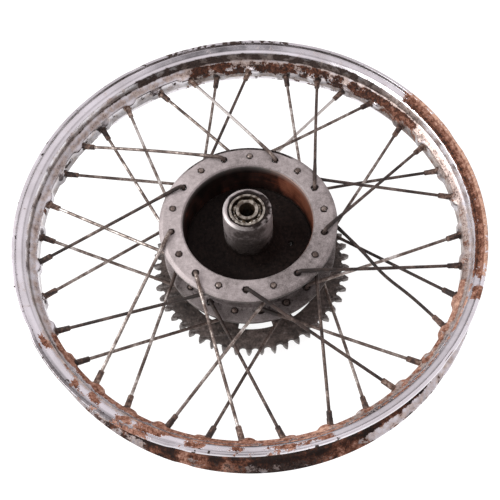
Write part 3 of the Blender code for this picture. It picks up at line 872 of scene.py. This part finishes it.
def bow(index, share):
    """How far a spoke is bent sideways and up at a share of its free length, in millimetres."""
    sway = random.Random(100 + index)
    middle = sin(pi * share)
    side = sway.uniform(-0.5, 0.5) * middle
    lift = sway.uniform(-0.5, 0.5) * middle
    if index == 0:
        side += 1.6 * middle
    if index == 18:
        side += 3 * exp(-(((share - 0.56) / 0.17) ** 2))
    return side, lift


def spoke_path(index):
    """Points along a spoke from inside its head to inside its nipple, with a radius at each."""
    head, up, corner, well, along = spoke_line(index)
    turn = up.angle(along)
    elbow = ELBOW_RADIUS * tan(turn / 2)
    start = corner - up * elbow
    centre = start + (along - up * along.dot(up)).normalized() * ELBOW_RADIUS
    axis = up.cross(along).normalized()
    side = along.cross(UP).normalized()
    lift = side.cross(along)
    path = [(head + up * 0.05, BUTT_RADIUS), (start, BUTT_RADIUS)]
    for step in range(1, 9):
        path.append((centre + Matrix.Rotation(turn * step / 8, 3, axis) @ (start - centre), BUTT_RADIUS))
    free_start = corner + along * elbow
    free = (well - along * (NIPPLE_REACH - 3) - free_start).length
    for step in range(1, 33):
        share = step / 32
        distance = free * share
        radius = BUTT_RADIUS + (SPOKE_RADIUS - BUTT_RADIUS) * float(smoothstep(distance, 16, BUTT_LENGTH))
        aside, above = bow(index, share)
        path.append((free_start + along * distance + side * aside + lift * above, radius))
    return path


def dome(base, up):
    """Stations of a formed spoke head, from its crown to its seat."""
    stations = []
    for step in range(6):
        turn = radians(8 + 82 * step / 5)
        height = SPOKE_HEAD_HEIGHT * (0.25 + 0.75 * cos(turn))
        stations.append((base - up * height, SPOKE_HEAD_RADIUS * sin(turn)))
    stations.append((base - up * SPOKE_HEAD_HEIGHT * 0.06, SPOKE_HEAD_RADIUS * 0.98))
    stations.append((base, SPOKE_HEAD_RADIUS * 0.9))
    return stations


def make_spoke(index, look):
    _, up, _, _, along = spoke_line(index)
    path = spoke_path(index)
    centres, radii = zip(*dome(path[0][0], up), *path)
    across = up.cross(along).normalized()
    frames = []
    for row in range(len(centres)):
        after = centres[min(row + 1, len(centres) - 1)]
        tangent = up if row <= HEAD_ROWS else (after - centres[row - 1]).normalized()
        frames.append((across, tangent.cross(across).normalized()))
    name = f"spoke_{index + 1:02d}"
    shape = tube(centres, frames, [circle(radius, WIRE_SIDES) for radius in radii])
    spoke = piece(f"{name}_wire", shape, look, [name], "spoke_steel", crisp=50)
    tone = next((level for level, spokes in SPOKE_TONES.items() if index in spokes), 0.5)
    tone += random.Random(index).uniform(-0.04, 0.04) + 0.18 * lumps(spoke, 45, 3 + index)
    tone -= 0.24 * (1 - smoothstep(places(spoke)[0], 80, 104))
    tone[: HEAD_ROWS * WIRE_SIDES] = 0.46
    paint(spoke, "tone", tone)


def make_nipple(index, look):
    """A nipple: key flats towards the hub, round barrel, and its head inside the rim."""
    _, _, _, well, along = spoke_line(index)
    spin = Matrix.Rotation(random.Random(index).uniform(0, pi / 2), 3, along)
    across = spin @ along.cross(UP).normalized()
    key = NIPPLE_RADIUS * 0.84
    inside = RIM_SHEET - DIMPLE_HEIGHT
    barrel = circle(NIPPLE_RADIUS, NIPPLE_SIDES)
    neck = circle(NIPPLE_RADIUS + 0.05, NIPPLE_SIDES)
    head = circle(NIPPLE_HEAD_RADIUS, NIPPLE_SIDES)
    rows = [
        (-NIPPLE_REACH, circle(SPOKE_RADIUS + 0.35, NIPPLE_SIDES)),
        (-NIPPLE_REACH, circle(key * 0.9, NIPPLE_SIDES)),
        (-NIPPLE_REACH + 0.7, flatted(NIPPLE_RADIUS * 0.97, key, 4, NIPPLE_SIDES)),
        (-NIPPLE_REACH + 6.5, flatted(NIPPLE_RADIUS, key, 4, NIPPLE_SIDES)),
        (-NIPPLE_REACH + 7.1, barrel), (-5.6, barrel), (-5.8, neck), (inside - 1, neck),
        (inside - 0.9, head), (inside + 0.7, head),
        (inside + 1.6, circle(NIPPLE_HEAD_RADIUS * 0.8, NIPPLE_SIDES)),
        (inside + 1.9, circle(NIPPLE_HEAD_RADIUS * 0.45, NIPPLE_SIDES)),
    ]
    number = f"{index + 1:02d}"
    shape = stacked(well, along, across, rows)
    nipple = piece(f"nipple_{number}", shape, look, [f"spoke_{number}"], "spoke_steel", crisp=30)
    paint(nipple, "tone", 0.42 + random.Random(50 + index).uniform(-0.14, 0.22))


# ---- hub ----


def hub_section():
    """Section of the cast hub as (radius, z, corner radius)."""
    seat = BEARING_OUTER + 0.15
    brake_shoulder = BEARING_HEIGHTS["brake_side"] - BEARING_WIDTH / 2 - 0.3
    sprocket_shoulder = BEARING_HEIGHTS["sprocket_side"] + BEARING_WIDTH / 2 + 0.3
    top_low, top_high = TOP_FLANGE
    low_low, low_high = LOW_FLANGE
    bore = [(HUB_BORE_RADIUS, sprocket_shoulder, 0.3), (HUB_BORE_RADIUS, brake_shoulder, 0.3)]
    mouth = [
        (seat, brake_shoulder, 0.2), (seat, BOSS_TOP - 2, 0.1), (seat + 0.9, BOSS_TOP - 1.7, 0.1),
        (seat + 0.9, BOSS_TOP - 0.9, 0.1), (seat + 0.3, BOSS_TOP - 0.7, 0.1),
        (seat + 1.2, BOSS_TOP, 0.3),
    ]
    boss = [
        (BOSS_RADIUS - 2.6, BOSS_TOP, 0.6), (BOSS_RADIUS - 0.2, BOSS_TOP - 1.6, 0.9),
        (BOSS_RADIUS, BOSS_TOP - 4, 0.6), (BOSS_RADIUS + 0.2, BOSS_TOP - 16, 0.2),
        (BOSS_RADIUS + 0.45, BOSS_TOP - 17, 0.2), (BOSS_RADIUS + 0.8, 4, 6),
        (BOSS_RADIUS + 9, DRUM_FLOOR, 8),
    ]
    drum = [
        (45, DRUM_FLOOR, 0.3), (46, DRUM_FLOOR + 0.9, 0.3), (LINER_INNER - 1.5, DRUM_FLOOR + 0.9, 0.8),
        (LINER_INNER - 0.6, DRUM_FLOOR, 0.3), (LINER_OUTER + 0.1, DRUM_FLOOR, 0.2),
        (LINER_OUTER + 0.1, top_high - 2.2, 0.2), (LINER_INNER + 0.35, top_high - 2.2, 0.2),
        (LINER_INNER + 0.5, top_high - 1.6, 0.3), (LINER_INNER + 1.8, top_high, 0.9),
    ]
    flanges = [
        (FLANGE_RADIUS - 4, top_high, 0.8), (FLANGE_RADIUS, top_high - 2.2, 0.8),
        (FLANGE_RADIUS, top_low, 0.8), (BARREL_RADIUS, top_low, 2.2), (BARREL_RADIUS, low_high, 2.2),
        (FLANGE_RADIUS, low_high, 0.8), (FLANGE_RADIUS, low_low + 2.2, 0.8),
        (FLANGE_RADIUS - 4, low_low, 0.8),
    ]
    neck = [
        (NECK_RADIUS + 8, low_low, 2), (NECK_RADIUS, low_low - 8, 5), (NECK_RADIUS, SPROCKET_SEAT, 0.5),
        (SPIGOT_RADIUS, SPROCKET_SEAT, 0.2), (SPIGOT_RADIUS, SPROCKET_SEAT - 5, 0.6),
        (NECK_INNER, SPROCKET_SEAT - 5, 0.6), (NECK_INNER, NECK_ROOF, 4),
        (BOSS_RADIUS + 2, NECK_ROOF, 4), (BOSS_RADIUS, BOSS_BOTTOM, 0.8), (seat, BOSS_BOTTOM, 0.4),
        (seat, sprocket_shoulder, 0.2),
    ]
    return bore + mouth + boss + drum + flanges + neck


def rib(angle):
    """One rib between boss and neck, thicker at its root."""
    outwards = polar(1, angle)
    sideways = polar(1, angle + 90)
    inner, outer = BOSS_RADIUS - 1, NECK_INNER + 1.5
    points = []
    for reach, z, half in ((inner, -14, 3.1), (outer, -14, 3.1), (outer, -50, 2.2), (inner, -58, 2.2)):
        points += [outwards * reach + sideways * side * half + UP * z for side in (1, -1)]
    return points, [(0, 2, 4, 6), (1, 7, 5, 3), (0, 1, 3, 2), (2, 3, 5, 4), (4, 5, 7, 6), (6, 7, 1, 0)]


def chip_boss(points):
    """Hammer marks on the boss's edge, and the slight waviness of a casting."""
    radius, angle, z = round_places(points)
    edge = band(radius, BOSS_RADIUS - 2.4, BOSS_RADIUS + 1, 0.8) * smoothstep(z, BOSS_TOP - 3, BOSS_TOP - 0.6)
    flange = smoothstep(radius, LINER_INNER + 5, FLANGE_RADIUS - 6) * (z > 0)
    drop = -flange * 0.14 * np.sin(np.radians(angle) * 3 + 0.8)
    marks = ((-8, 3, 1.1), (-24, 4.5, 1.5), (-42, 3, 1), (12, 3.5, 0.8), (-63, 3, 0.7))
    for middle, half_width, depth in marks:
        drop += depth * edge * arc(angle, middle, half_width, 3)
    points[:, 2] -= drop
    return points


def paint_hub(hub):
    radius, angle, z = places(hub)
    at = partial(arc, angle)
    outwards = facing(hub)
    speck = lumps(hub, 9, 4)
    blotch = lumps(hub, 30, 5)
    top_low, top_high = TOP_FLANGE
    left = at(180, 40, 60)
    in_drum = (radius < LINER_INNER + 0.6) & (z < top_high - 2.3) & (z > DRUM_FLOOR - 2)
    boss = (radius < BOSS_RADIUS + 4) & (z > DRUM_FLOOR)
    boss_side = boss * (outwards > 0.2)
    boss_face = boss * (z > BOSS_TOP - 1.2) * (radius > BEARING_OUTER)
    worn_edge = band(radius, BOSS_RADIUS - 3.4, BOSS_RADIUS + 0.6, 0.4) * (z > BOSS_TOP - 4)
    bevel = band(radius, FLANGE_RADIUS - 3.8, FLANGE_RADIUS + 1, 0.5)
    bevel *= band(z, top_high - 2.8, top_high - 0.15, 0.2)
    between = (radius < FLANGE_RADIUS - 0.6) * band(z, LOW_FLANGE[1] - 0.4, top_low + 0.4, 0.4)
    ring = band(radius, LINER_INNER - 4, LINER_INNER - 1, 0.6) * (z < DRUM_FLOOR + 2) * at(20, 60, 30)
    x, y = flat(radius, angle)
    to_hole = np.full(len(z), 99)
    for index in range(SPOKE_COUNT):
        _, _, corner, _, _ = spoke_line(index)
        off = np.hypot(x - corner.x, y - corner.y)
        to_hole = np.where(np.abs(z - corner.z) < 16, np.minimum(to_hole, off), to_hole)

    # Partly real soiling and partly painted shade: the drum's inside, the bore, the boss's foot and the gap
    # between the flanges are darkened as painted shade, the boss's face is painted lighter on its lit left
    # side, and a pale ring on the drum floor's right is a painted highlight. The rings round the spoke holes,
    # the bearing seat and the boss's chipped edge are soiling. Everything below the lower flange is darker
    # too.
    grime_and_shade = 0.06 + 0.1 * speck + 0.05 * blotch + in_drum * ~boss * 0.95
    grime_and_shade += (radius < HUB_BORE_RADIUS + 0.6) * 0.8
    grime_and_shade += boss_side * 0.6 * smoothstep(BOSS_TOP - z, 34, 60)
    grime_and_shade += boss_face * (0.4 + 0.3 * speck - 0.3 * left)
    grime_and_shade += worn_edge * at(-20, 50, 20) * (0.4 + 0.7 * lumps(hub, 4, 9))
    grime_and_shade += bevel * (0.06 + 0.62 * at(96, 34, 16))
    grime_and_shade += between * (0.16 + 0.26 * smoothstep(86 - radius, 0, 14))
    grime_and_shade += smoothstep(-z, 20.5, 24) * (0.5 + 0.2 * blotch)
    grime_and_shade += (1 - smoothstep(to_hole, 3.1, 4.2)) * (0.4 + 0.42 * (z > 0))
    grime_and_shade += band(radius, BEARING_OUTER, BEARING_OUTER + 1.4, 0.3) * (z > BOSS_TOP - 2.6) * 0.85 - ring * 0.36
    paint(hub, "grime_and_shade", grime_and_shade)

    # Painted highlight: the boss's worn edge is brightest on its lit left side, with a pale ring on the drum
    # floor's right.
    edge = band(radius, BOSS_RADIUS - 2.2, BOSS_RADIUS + 0.6, 0.5)
    edge *= smoothstep(z, BOSS_TOP - 2.4, BOSS_TOP - 1)
    paint(hub, "polish_and_highlight", edge * (0.05 + 0.5 * left) + ring * 0.5)

    # Painted light in the casting's tone: lighter on the left, darker on the far and near-right sides, with
    # painted shade below the top flange, in a band right under it and on the flanges' outer edges, most on
    # the near side. The random darker blotches are the casting's own.
    tone = 0.44 + 0.16 * at(165, 35, 50) - 0.03 * at(88, 14, 30) - 0.15 * at(-48, 22, 24)
    tone += 0.03 * at(-96, 16, 14) - 0.13 * (z < top_low) - 0.1 * smoothstep(-blotch, 0.2, 0.6)
    tone -= (0.2 + 0.16 * at(-90, 30, 30)) * smoothstep(outwards, 0.4, 0.8) * (radius > 80)
    tone -= 0.24 * band(z, top_low - 7, top_low, 3) * (radius < FLANGE_RADIUS - 0.6)
    # Painted light on the boss's side: lighter on the left, a little at -20 degrees and near its top, with
    # painted shade on its near side and down towards the drum floor.
    boss_light_and_shade = 0.26 + 0.12 * at(185, 25, 45) - 0.22 * at(-90, 25, 35) + 0.12 * at(-20, 15, 30)
    boss_light_and_shade += 0.12 * smoothstep(z, BOSS_TOP - 12, BOSS_TOP) - 0.26 * smoothstep(BOSS_TOP - z, 24, 52)
    paint(hub, "tone", np.where(boss_side, boss_light_and_shade, tone))


def make_hub(look):
    points, faces = lathe(hub_section(), 2.6, HUB_STEPS)
    hub = bare_mesh("hub_casting", chip_boss(points), faces)
    carve(hub, "UNION", [rib(360 * (index + 0.5) / RIB_COUNT) for index in range(RIB_COUNT)])
    inner = FLANGE_HOLE_RADIUS
    edge = inner + 0.5
    chamfered = [(-1.5, edge), (0, edge), (0.5, inner), (4.5, inner), (5, edge), (7, edge)]
    holes = []
    for index in range(SPOKE_COUNT):
        head, up, _, _, _ = spoke_line(index)
        holes.append(bar(head, up, chamfered, 20))
    for x, y in bolt_spots():
        mouth = Vector((x, y, SPROCKET_SEAT))
        holes.append(bar(mouth, -UP, [(-20, BOLT_HOLE_RADIUS), (3, BOLT_HOLE_RADIUS)], 24))
    holes.append(bar(polar(42, -7.5, DRUM_FLOOR), -UP, [(-4, 3), (16, 3)], 24))  # the drain
    carve(hub, "DIFFERENCE", holes)
    finish_piece(hub, look, ["hub_shell"], crisp=40)
    paint_hub(hub)


def make_liner(look):
    low = DRUM_FLOOR + 0.3
    high = TOP_FLANGE[1] - 2.4
    section = [(LINER_INNER, low, 0.5), (LINER_OUTER, low, 0.3), (LINER_OUTER, high, 0.3)]
    section += [(LINER_INNER + 0.5, high, 0.2), (LINER_INNER, high - 0.6, 0.2)]
    liner = piece("drum_liner", lathe(section, 2, HUB_STEPS), look, ["brake_drum_liner"], "drum_iron")
    _, angle, z = places(liner)
    # Painted light: the rust is painted redder and lighter on the lit right side and higher up; elsewhere it
    # is nearly black.
    red = arc(angle, 8, 30, 46) * smoothstep(z, -16, 14)
    paint(liner, "rust", 0.24 + 0.7 * red + 0.1 * lumps(liner, 18, 6))
    # The top band is painted pale as a worn edge, with a painted highlight that is strongest on the right.
    paint(liner, "polish_and_highlight", smoothstep(z, high - 9, high) * (0.12 + 0.26 * arc(angle, 30, 20, 40)))


# ---- bearings ----


def race_section(back, front, groove, mouth, floor, z, side):
    """Section of a ball race; side is 1 for an outer race and -1 for an inner one."""
    half = BEARING_WIDTH / 2
    corners = [(back, -half, 0.6), (back, half, 0.6), (front, half, 0.25), (front, mouth, 0.1)]
    corners += [(groove, floor, 1), (groove, -floor, 1), (front, -mouth, 0.1), (front, -half, 0.25)]
    return [(radius, z + side * level, curve) for radius, level, curve in corners]


def make_bearing(side, z, race, cage_metal):
    outer = race_section(BEARING_OUTER, 15.1, 15.75, 2.4, 1.6, z, 1)
    inner = race_section(BORE_RADIUS, 10.8, 9.25, 2.3, 1, z, -1)
    for name, section, body in (("outer_race", outer, WHEEL), ("inner_race", inner, SLEEVE)):
        node = f"{name}_{side}"
        shape = lathe(section, 1.5, BEARING_STEPS)
        ring = piece(f"{node}_ground", shape, race, [node], "bearing_steel", body)
        radius, _, height = places(ring)
        face = (np.abs(height - z) > BEARING_WIDTH / 2 - 0.4) & (radius > BORE_RADIUS + 0.3)
        paint(ring, "grime_and_shade", np.where(face, 0.53, 1) + 0.3 * lumps(ring, 4, 7))
    make_cage(side, z, cage_metal)


def make_cage(side, z, look):
    """Eight balls in a pressed ribbon cage, which bulges round each ball."""
    shapes = []
    for index in range(BALL_COUNT):
        ball = bmesh.new()
        bmesh.ops.create_uvsphere(ball, u_segments=24, v_segments=16, radius=BALL_RADIUS)
        shapes.append(taken(ball, polar(BALL_CIRCLE, 360 * (index + 0.5) / BALL_COUNT, z)))
    inner, outer = BALL_CIRCLE - 0.75, BALL_CIRCLE + 0.75
    for lift in (1, -1):
        section = [(inner, -0.3, 0.1), (outer, -0.3, 0.1), (outer, 0.3, 0.1), (inner, 0.3, 0.1)]
        points, faces = lathe(section, 9, 2 * BEARING_STEPS, 2)
        angle = np.arctan2(points[:, 1], points[:, 0])
        swell = np.abs(np.cos(angle * BALL_COUNT / 2 + pi / 2)) ** 0.8
        points[:, 2] += z + lift * (0.45 + 2.35 * swell)
        shapes.append((points, faces))
    piece(f"balls_{side}", joined(shapes), look, [f"ball_cage_{side}"], "greasy_cage", f"{side}_balls", 40)


def make_spacer(look):
    high = BEARING_HEIGHTS["brake_side"] - BEARING_WIDTH / 2 - 0.1
    low = BEARING_HEIGHTS["sprocket_side"] + BEARING_WIDTH / 2 + 0.1
    section = [(7.7, low, 0.3), (10.4, low, 0.5), (10.4, high, 0.5), (7.7, high, 0.3)]
    pipe = lathe(section, 6, BEARING_STEPS)
    paint(piece("spacer_pipe", pipe, look, ["spacer_tube"], "spacer_steel", SLEEVE), "grime_and_shade", 1)


def make_seal(look):
    high = BEARING_HEIGHTS["sprocket_side"] - BEARING_WIDTH / 2 - 0.3
    low = BOSS_BOTTOM + 0.4
    section = [(BEARING_OUTER, low, 0.4), (BEARING_OUTER, high, 0.4), (16.2, high, 0.3)]
    section += [(15.4, low + 1.6, 0.5), (12, high - 0.6, 0.4), (11, low + 1.6, 0.3), (12, low, 0.4)]
    piece("seal_ring", lathe(section, 1, BEARING_STEPS), look, ["oil_seal"], "seal_rubber")


# ---- sprocket ----


def tooth_outline():
    """Outline of worn teeth: round seats for the rollers, hollow flanks and pointed tips."""
    pitch_radius = CHAIN_PITCH / 2 / sin(pi / TOOTH_COUNT)
    step = 360 / TOOTH_COUNT
    outline = []
    for tooth in range(TOOTH_COUNT):
        middle = FIRST_TOOTH_ANGLE + tooth * step
        wear = random.Random(tooth).uniform(-0.5, 0.3)
        for share in (-0.04, 0, 0.04):
            outline.append((TIP_RADIUS + wear - abs(share) * 6, middle + share * step))
        for share in (0.12, 0.17, 0.22):
            outline.append((pitch_radius + (0.2 - share) * 26, middle + share * step))
        for turn in range(-52, 53, 13):
            across = degrees(ROLLER_RADIUS * sin(radians(turn)) / pitch_radius)
            depth = ROLLER_RADIUS * cos(radians(turn))
            outline.append((pitch_radius - depth, middle + 0.5 * step + across))
        for share in (0.78, 0.83, 0.88):
            outline.append((pitch_radius + (share - 0.8) * 26, middle + share * step))
    return [tuple(polar(radius, angle).xy) for radius, angle in outline]


def sector(inner, outer, middle, half_angle, corner):
    """Outline of a ring sector with round corners."""
    steps = 12
    shares = [2 * step / steps - 1 for step in range(steps + 1)]
    outline = []
    for radius, share in [(outer, share) for share in shares] + [(inner, -share) for share in shares]:
        outline.append((*polar(radius, middle + half_angle * share).xy, corner if abs(share) == 1 else 0))
    return rounded(outline, 5)


def plate(outlines, low, high, edge):
    """Points and faces of a flat plate with bevelled edges, from its outlines."""
    curve = bpy.data.curves.new("plate", "CURVE")
    curve.dimensions = "2D"
    curve.fill_mode = "BOTH"
    curve.extrude = ((high - low) / 2 - edge) * MM
    curve.bevel_depth = edge * MM
    curve.bevel_resolution = 1
    curve.offset = -edge * MM
    for outline in outlines:
        spline = curve.splines.new("POLY")
        spline.points.add(len(outline) - 1)
        for point, (x, y) in zip(spline.points, outline):
            point.co = (x * MM, y * MM, 0, 1)
        spline.use_cyclic_u = True
    drawn = linked("plate", curve)
    shape = bmesh.new()
    shape.from_mesh(drawn.to_mesh())
    bmesh.ops.remove_doubles(shape, verts=shape.verts, dist=0.001 * MM)
    bpy.data.objects.remove(drawn)
    return taken(shape, UP * ((high + low) / 2), MM)


def bolt_spots():
    return [tuple(polar(BOLT_CIRCLE, 360 * index / BOLT_COUNT).xy) for index in range(BOLT_COUNT)]


def grease_lumps():
    """Clods of old grease and grit stuck on both faces of the sprocket, but not over its windows."""
    shapes = []
    luck = random.Random(21)
    for _ in range(420):
        radius = luck.triangular(60, 97, 84)
        angle = luck.uniform(0, 360)
        if radius < WINDOW_OUTER + 2 and (angle + 18) % (360 / WINDOW_COUNT) < 36:
            continue
        height = SPROCKET_TOP if luck.random() < 0.6 else SPROCKET_LOW
        clod = bmesh.new()
        bmesh.ops.create_icosphere(clod, subdivisions=2, radius=luck.uniform(0.6, 1.9))
        centre = polar(radius, angle, height)
        for vertex in clod.verts:
            vertex.co *= 1 + 0.35 * noise.noise(vertex.co * 1.3 + centre)
            vertex.co.z *= 0.42
        shapes.append(taken(clod, centre))
    return joined(shapes)


def make_sprocket(look):
    outlines = [tooth_outline(), circle(SPIGOT_RADIUS + 0.2, 120)]
    for index in range(WINDOW_COUNT):
        outlines.append(sector(WINDOW_INNER, WINDOW_OUTER, 360 * index / WINDOW_COUNT, 14, 3.5))
    outlines.extend(circle(BOLT_HOLE_RADIUS, 24, *spot) for spot in bolt_spots())
    shape = plate(outlines, SPROCKET_LOW, SPROCKET_TOP, 0.35)
    sprocket = piece("sprocket_steel", shape, look, ["sprocket"], "greasy_sprocket_steel", crisp=30)
    paint(sprocket, "polish_and_highlight", smoothstep(places(sprocket)[0], 95, 99) * 0.62)
    crust = piece("sprocket_crust", grease_lumps(), look, [], "greasy_sprocket_steel")
    paint(crust, "polish_and_highlight", 0)


def make_lock_plates(look):
    high = SPROCKET_LOW - 0.1
    spots = bolt_spots()
    for index in range(BOLT_COUNT // 2):
        outlines = [sector(47.5, 57, 120 * index + 30, 38, 2.5)]
        outlines.extend(circle(BOLT_HOLE_RADIUS, 24, *spot) for spot in spots[2 * index : 2 * index + 2])
        name = f"lock_plate_{index + 1}"
        piece(f"{name}_sheet", plate(outlines, high - 1.2, high, 0.15), look, [name], "bolt_steel")


def make_bolts(look):
    """Bolts whose heads the wheel rests on, with their corners trimmed round."""
    top = SPROCKET_LOW - 1.6
    low = -RIM_PLANE + 0.05
    sides = 36
    trimmed, hexagon = (flatted(radius, 6.5, 6, sides) for radius in (6.7, 9))
    shank = circle(BOLT_RADIUS, sides)
    rows = [(low, circle(5.4, sides)), (low + 0.05, circle(6.2, sides)), (low + 0.6, trimmed)]
    rows += [(low + 1, hexagon), (top, hexagon)]
    rows += [(top, shank), (top + 21, shank), (top + 22, circle(3, sides))]
    for index, (x, y) in enumerate(bolt_spots()):
        name = f"sprocket_bolt_{index + 1}"
        shape = stacked(Vector((x, y, 0)), UP, polar(1, 17 * index), rows)
        piece(f"{name}_hex", shape, look, [name], "bolt_steel", crisp=25)


# ---- stage ----


def make_floor():
    """A wide white sheet that glows a little, like a light table."""
    look = Look("white_sheet")
    tone = look.ramp(look.noise(300, 2), (0.4, 0.29, 0.29, 0.29), (0.6, 0.31, 0.31, 0.31))
    look.put(look.shader.inputs, {"Emission Color": (1, 1, 1), "Emission Strength": 0.88})
    size = 30
    mesh = bpy.data.meshes.new("floor")
    corners = [(-size, -size, 0), (size, -size, 0), (size, size, 0), (-size, size, 0)]
    mesh.from_pydata(corners, [], [(0, 1, 2, 3)])
    mesh.materials.append(look.done(tone, 0.9, 0))
    floor = linked("floor", mesh)
    floor.location.z = -0.0002


def area_light(name, spot, size, watts):
    """A soft box that points at the wheel."""
    light = bpy.data.lights.new(name, "AREA")
    light.shape = "RECTANGLE"
    light.size, light.size_y = size
    light.energy = watts
    lamp = linked(name, light)
    lamp.location = spot
    lamp.rotation_euler = (Vector((0, 0, 0.06)) - Vector(spot)).to_track_quat("-Z", "Y").to_euler()
    return lamp


def make_lights():
    """A soft box close on the left, a weak one behind, and a pale room that is darker overhead."""
    area_light("left_softbox", (-1.15, -0.05, 0.95), (1.1, 0.9), 15)
    area_light("back_softbox", (0.5, 1.5, 0.8), (1.8, 0.5), 7).visible_glossy = False
    world = bpy.data.worlds.new("room")
    world.use_nodes = True
    nodes = world.node_tree.nodes
    links = world.node_tree.links
    where = nodes.new("ShaderNodeTexCoord")
    split = nodes.new("ShaderNodeSeparateXYZ")
    shade = nodes.new("ShaderNodeValToRGB")
    stops = ((0.03, 1), (0.13, 0.74), (0.5, 0.84), (0.76, 1), (0.96, 0.96), (1, 0.12))
    fill_ramp(shade.color_ramp, [(place, level, level * 0.95, level * 0.975) for place, level in stops])
    links.new(where.outputs["Generated"], split.inputs["Vector"])
    links.new(split.outputs["Z"], shade.inputs["Fac"])
    links.new(shade.outputs["Color"], nodes["Background"].inputs["Color"])
    nodes["Background"].inputs["Strength"].default_value = 0.93
    bpy.context.scene.world = world


def make_camera():
    """Looks down at the wheel from 60 degrees above the floor, slightly rolled."""
    distance = 0.966
    elevation = radians(60.44)
    pitch = radians(-0.755)
    roll = radians(-4.19)
    back = Vector((0, -cos(elevation), sin(elevation)))
    camera = linked("camera", bpy.data.cameras.new("camera"))
    camera.location = UP * (RIM_PLANE * MM) + back * distance
    level = (-back).to_track_quat("-Z", "Y").to_matrix()
    tilt = Matrix.Rotation(pitch, 3, "X") @ Matrix.Rotation(roll, 3, "Z")
    camera.rotation_mode = "QUATERNION"
    camera.rotation_quaternion = (level @ tilt).to_quaternion()
    camera.data.lens = 69.475
    camera.data.sensor_width = 36
    camera.data.clip_start = 0.05
    bpy.context.scene.camera = camera


# ---- build ----

make_rim(chrome_look())
wire = spoke_look()
brass = nipple_look()
for spoke_index in range(SPOKE_COUNT):
    make_spoke(spoke_index, wire)
    make_nipple(spoke_index, brass)
make_hub(casting_look())
make_liner(drum_look())
bearing_steel = race_look()
cage_steel = cage_look()
for bearing_side, bearing_z in BEARING_HEIGHTS.items():
    make_bearing(bearing_side, bearing_z, bearing_steel, cage_steel)
make_spacer(bearing_steel)
make_seal(rubber_look())
make_sprocket(sprocket_look())
zinc = bolt_look()
make_lock_plates(zinc)
make_bolts(zinc)
make_floor()
make_lights()
make_camera()
bpy.context.scene.view_settings.view_transform = "Standard"
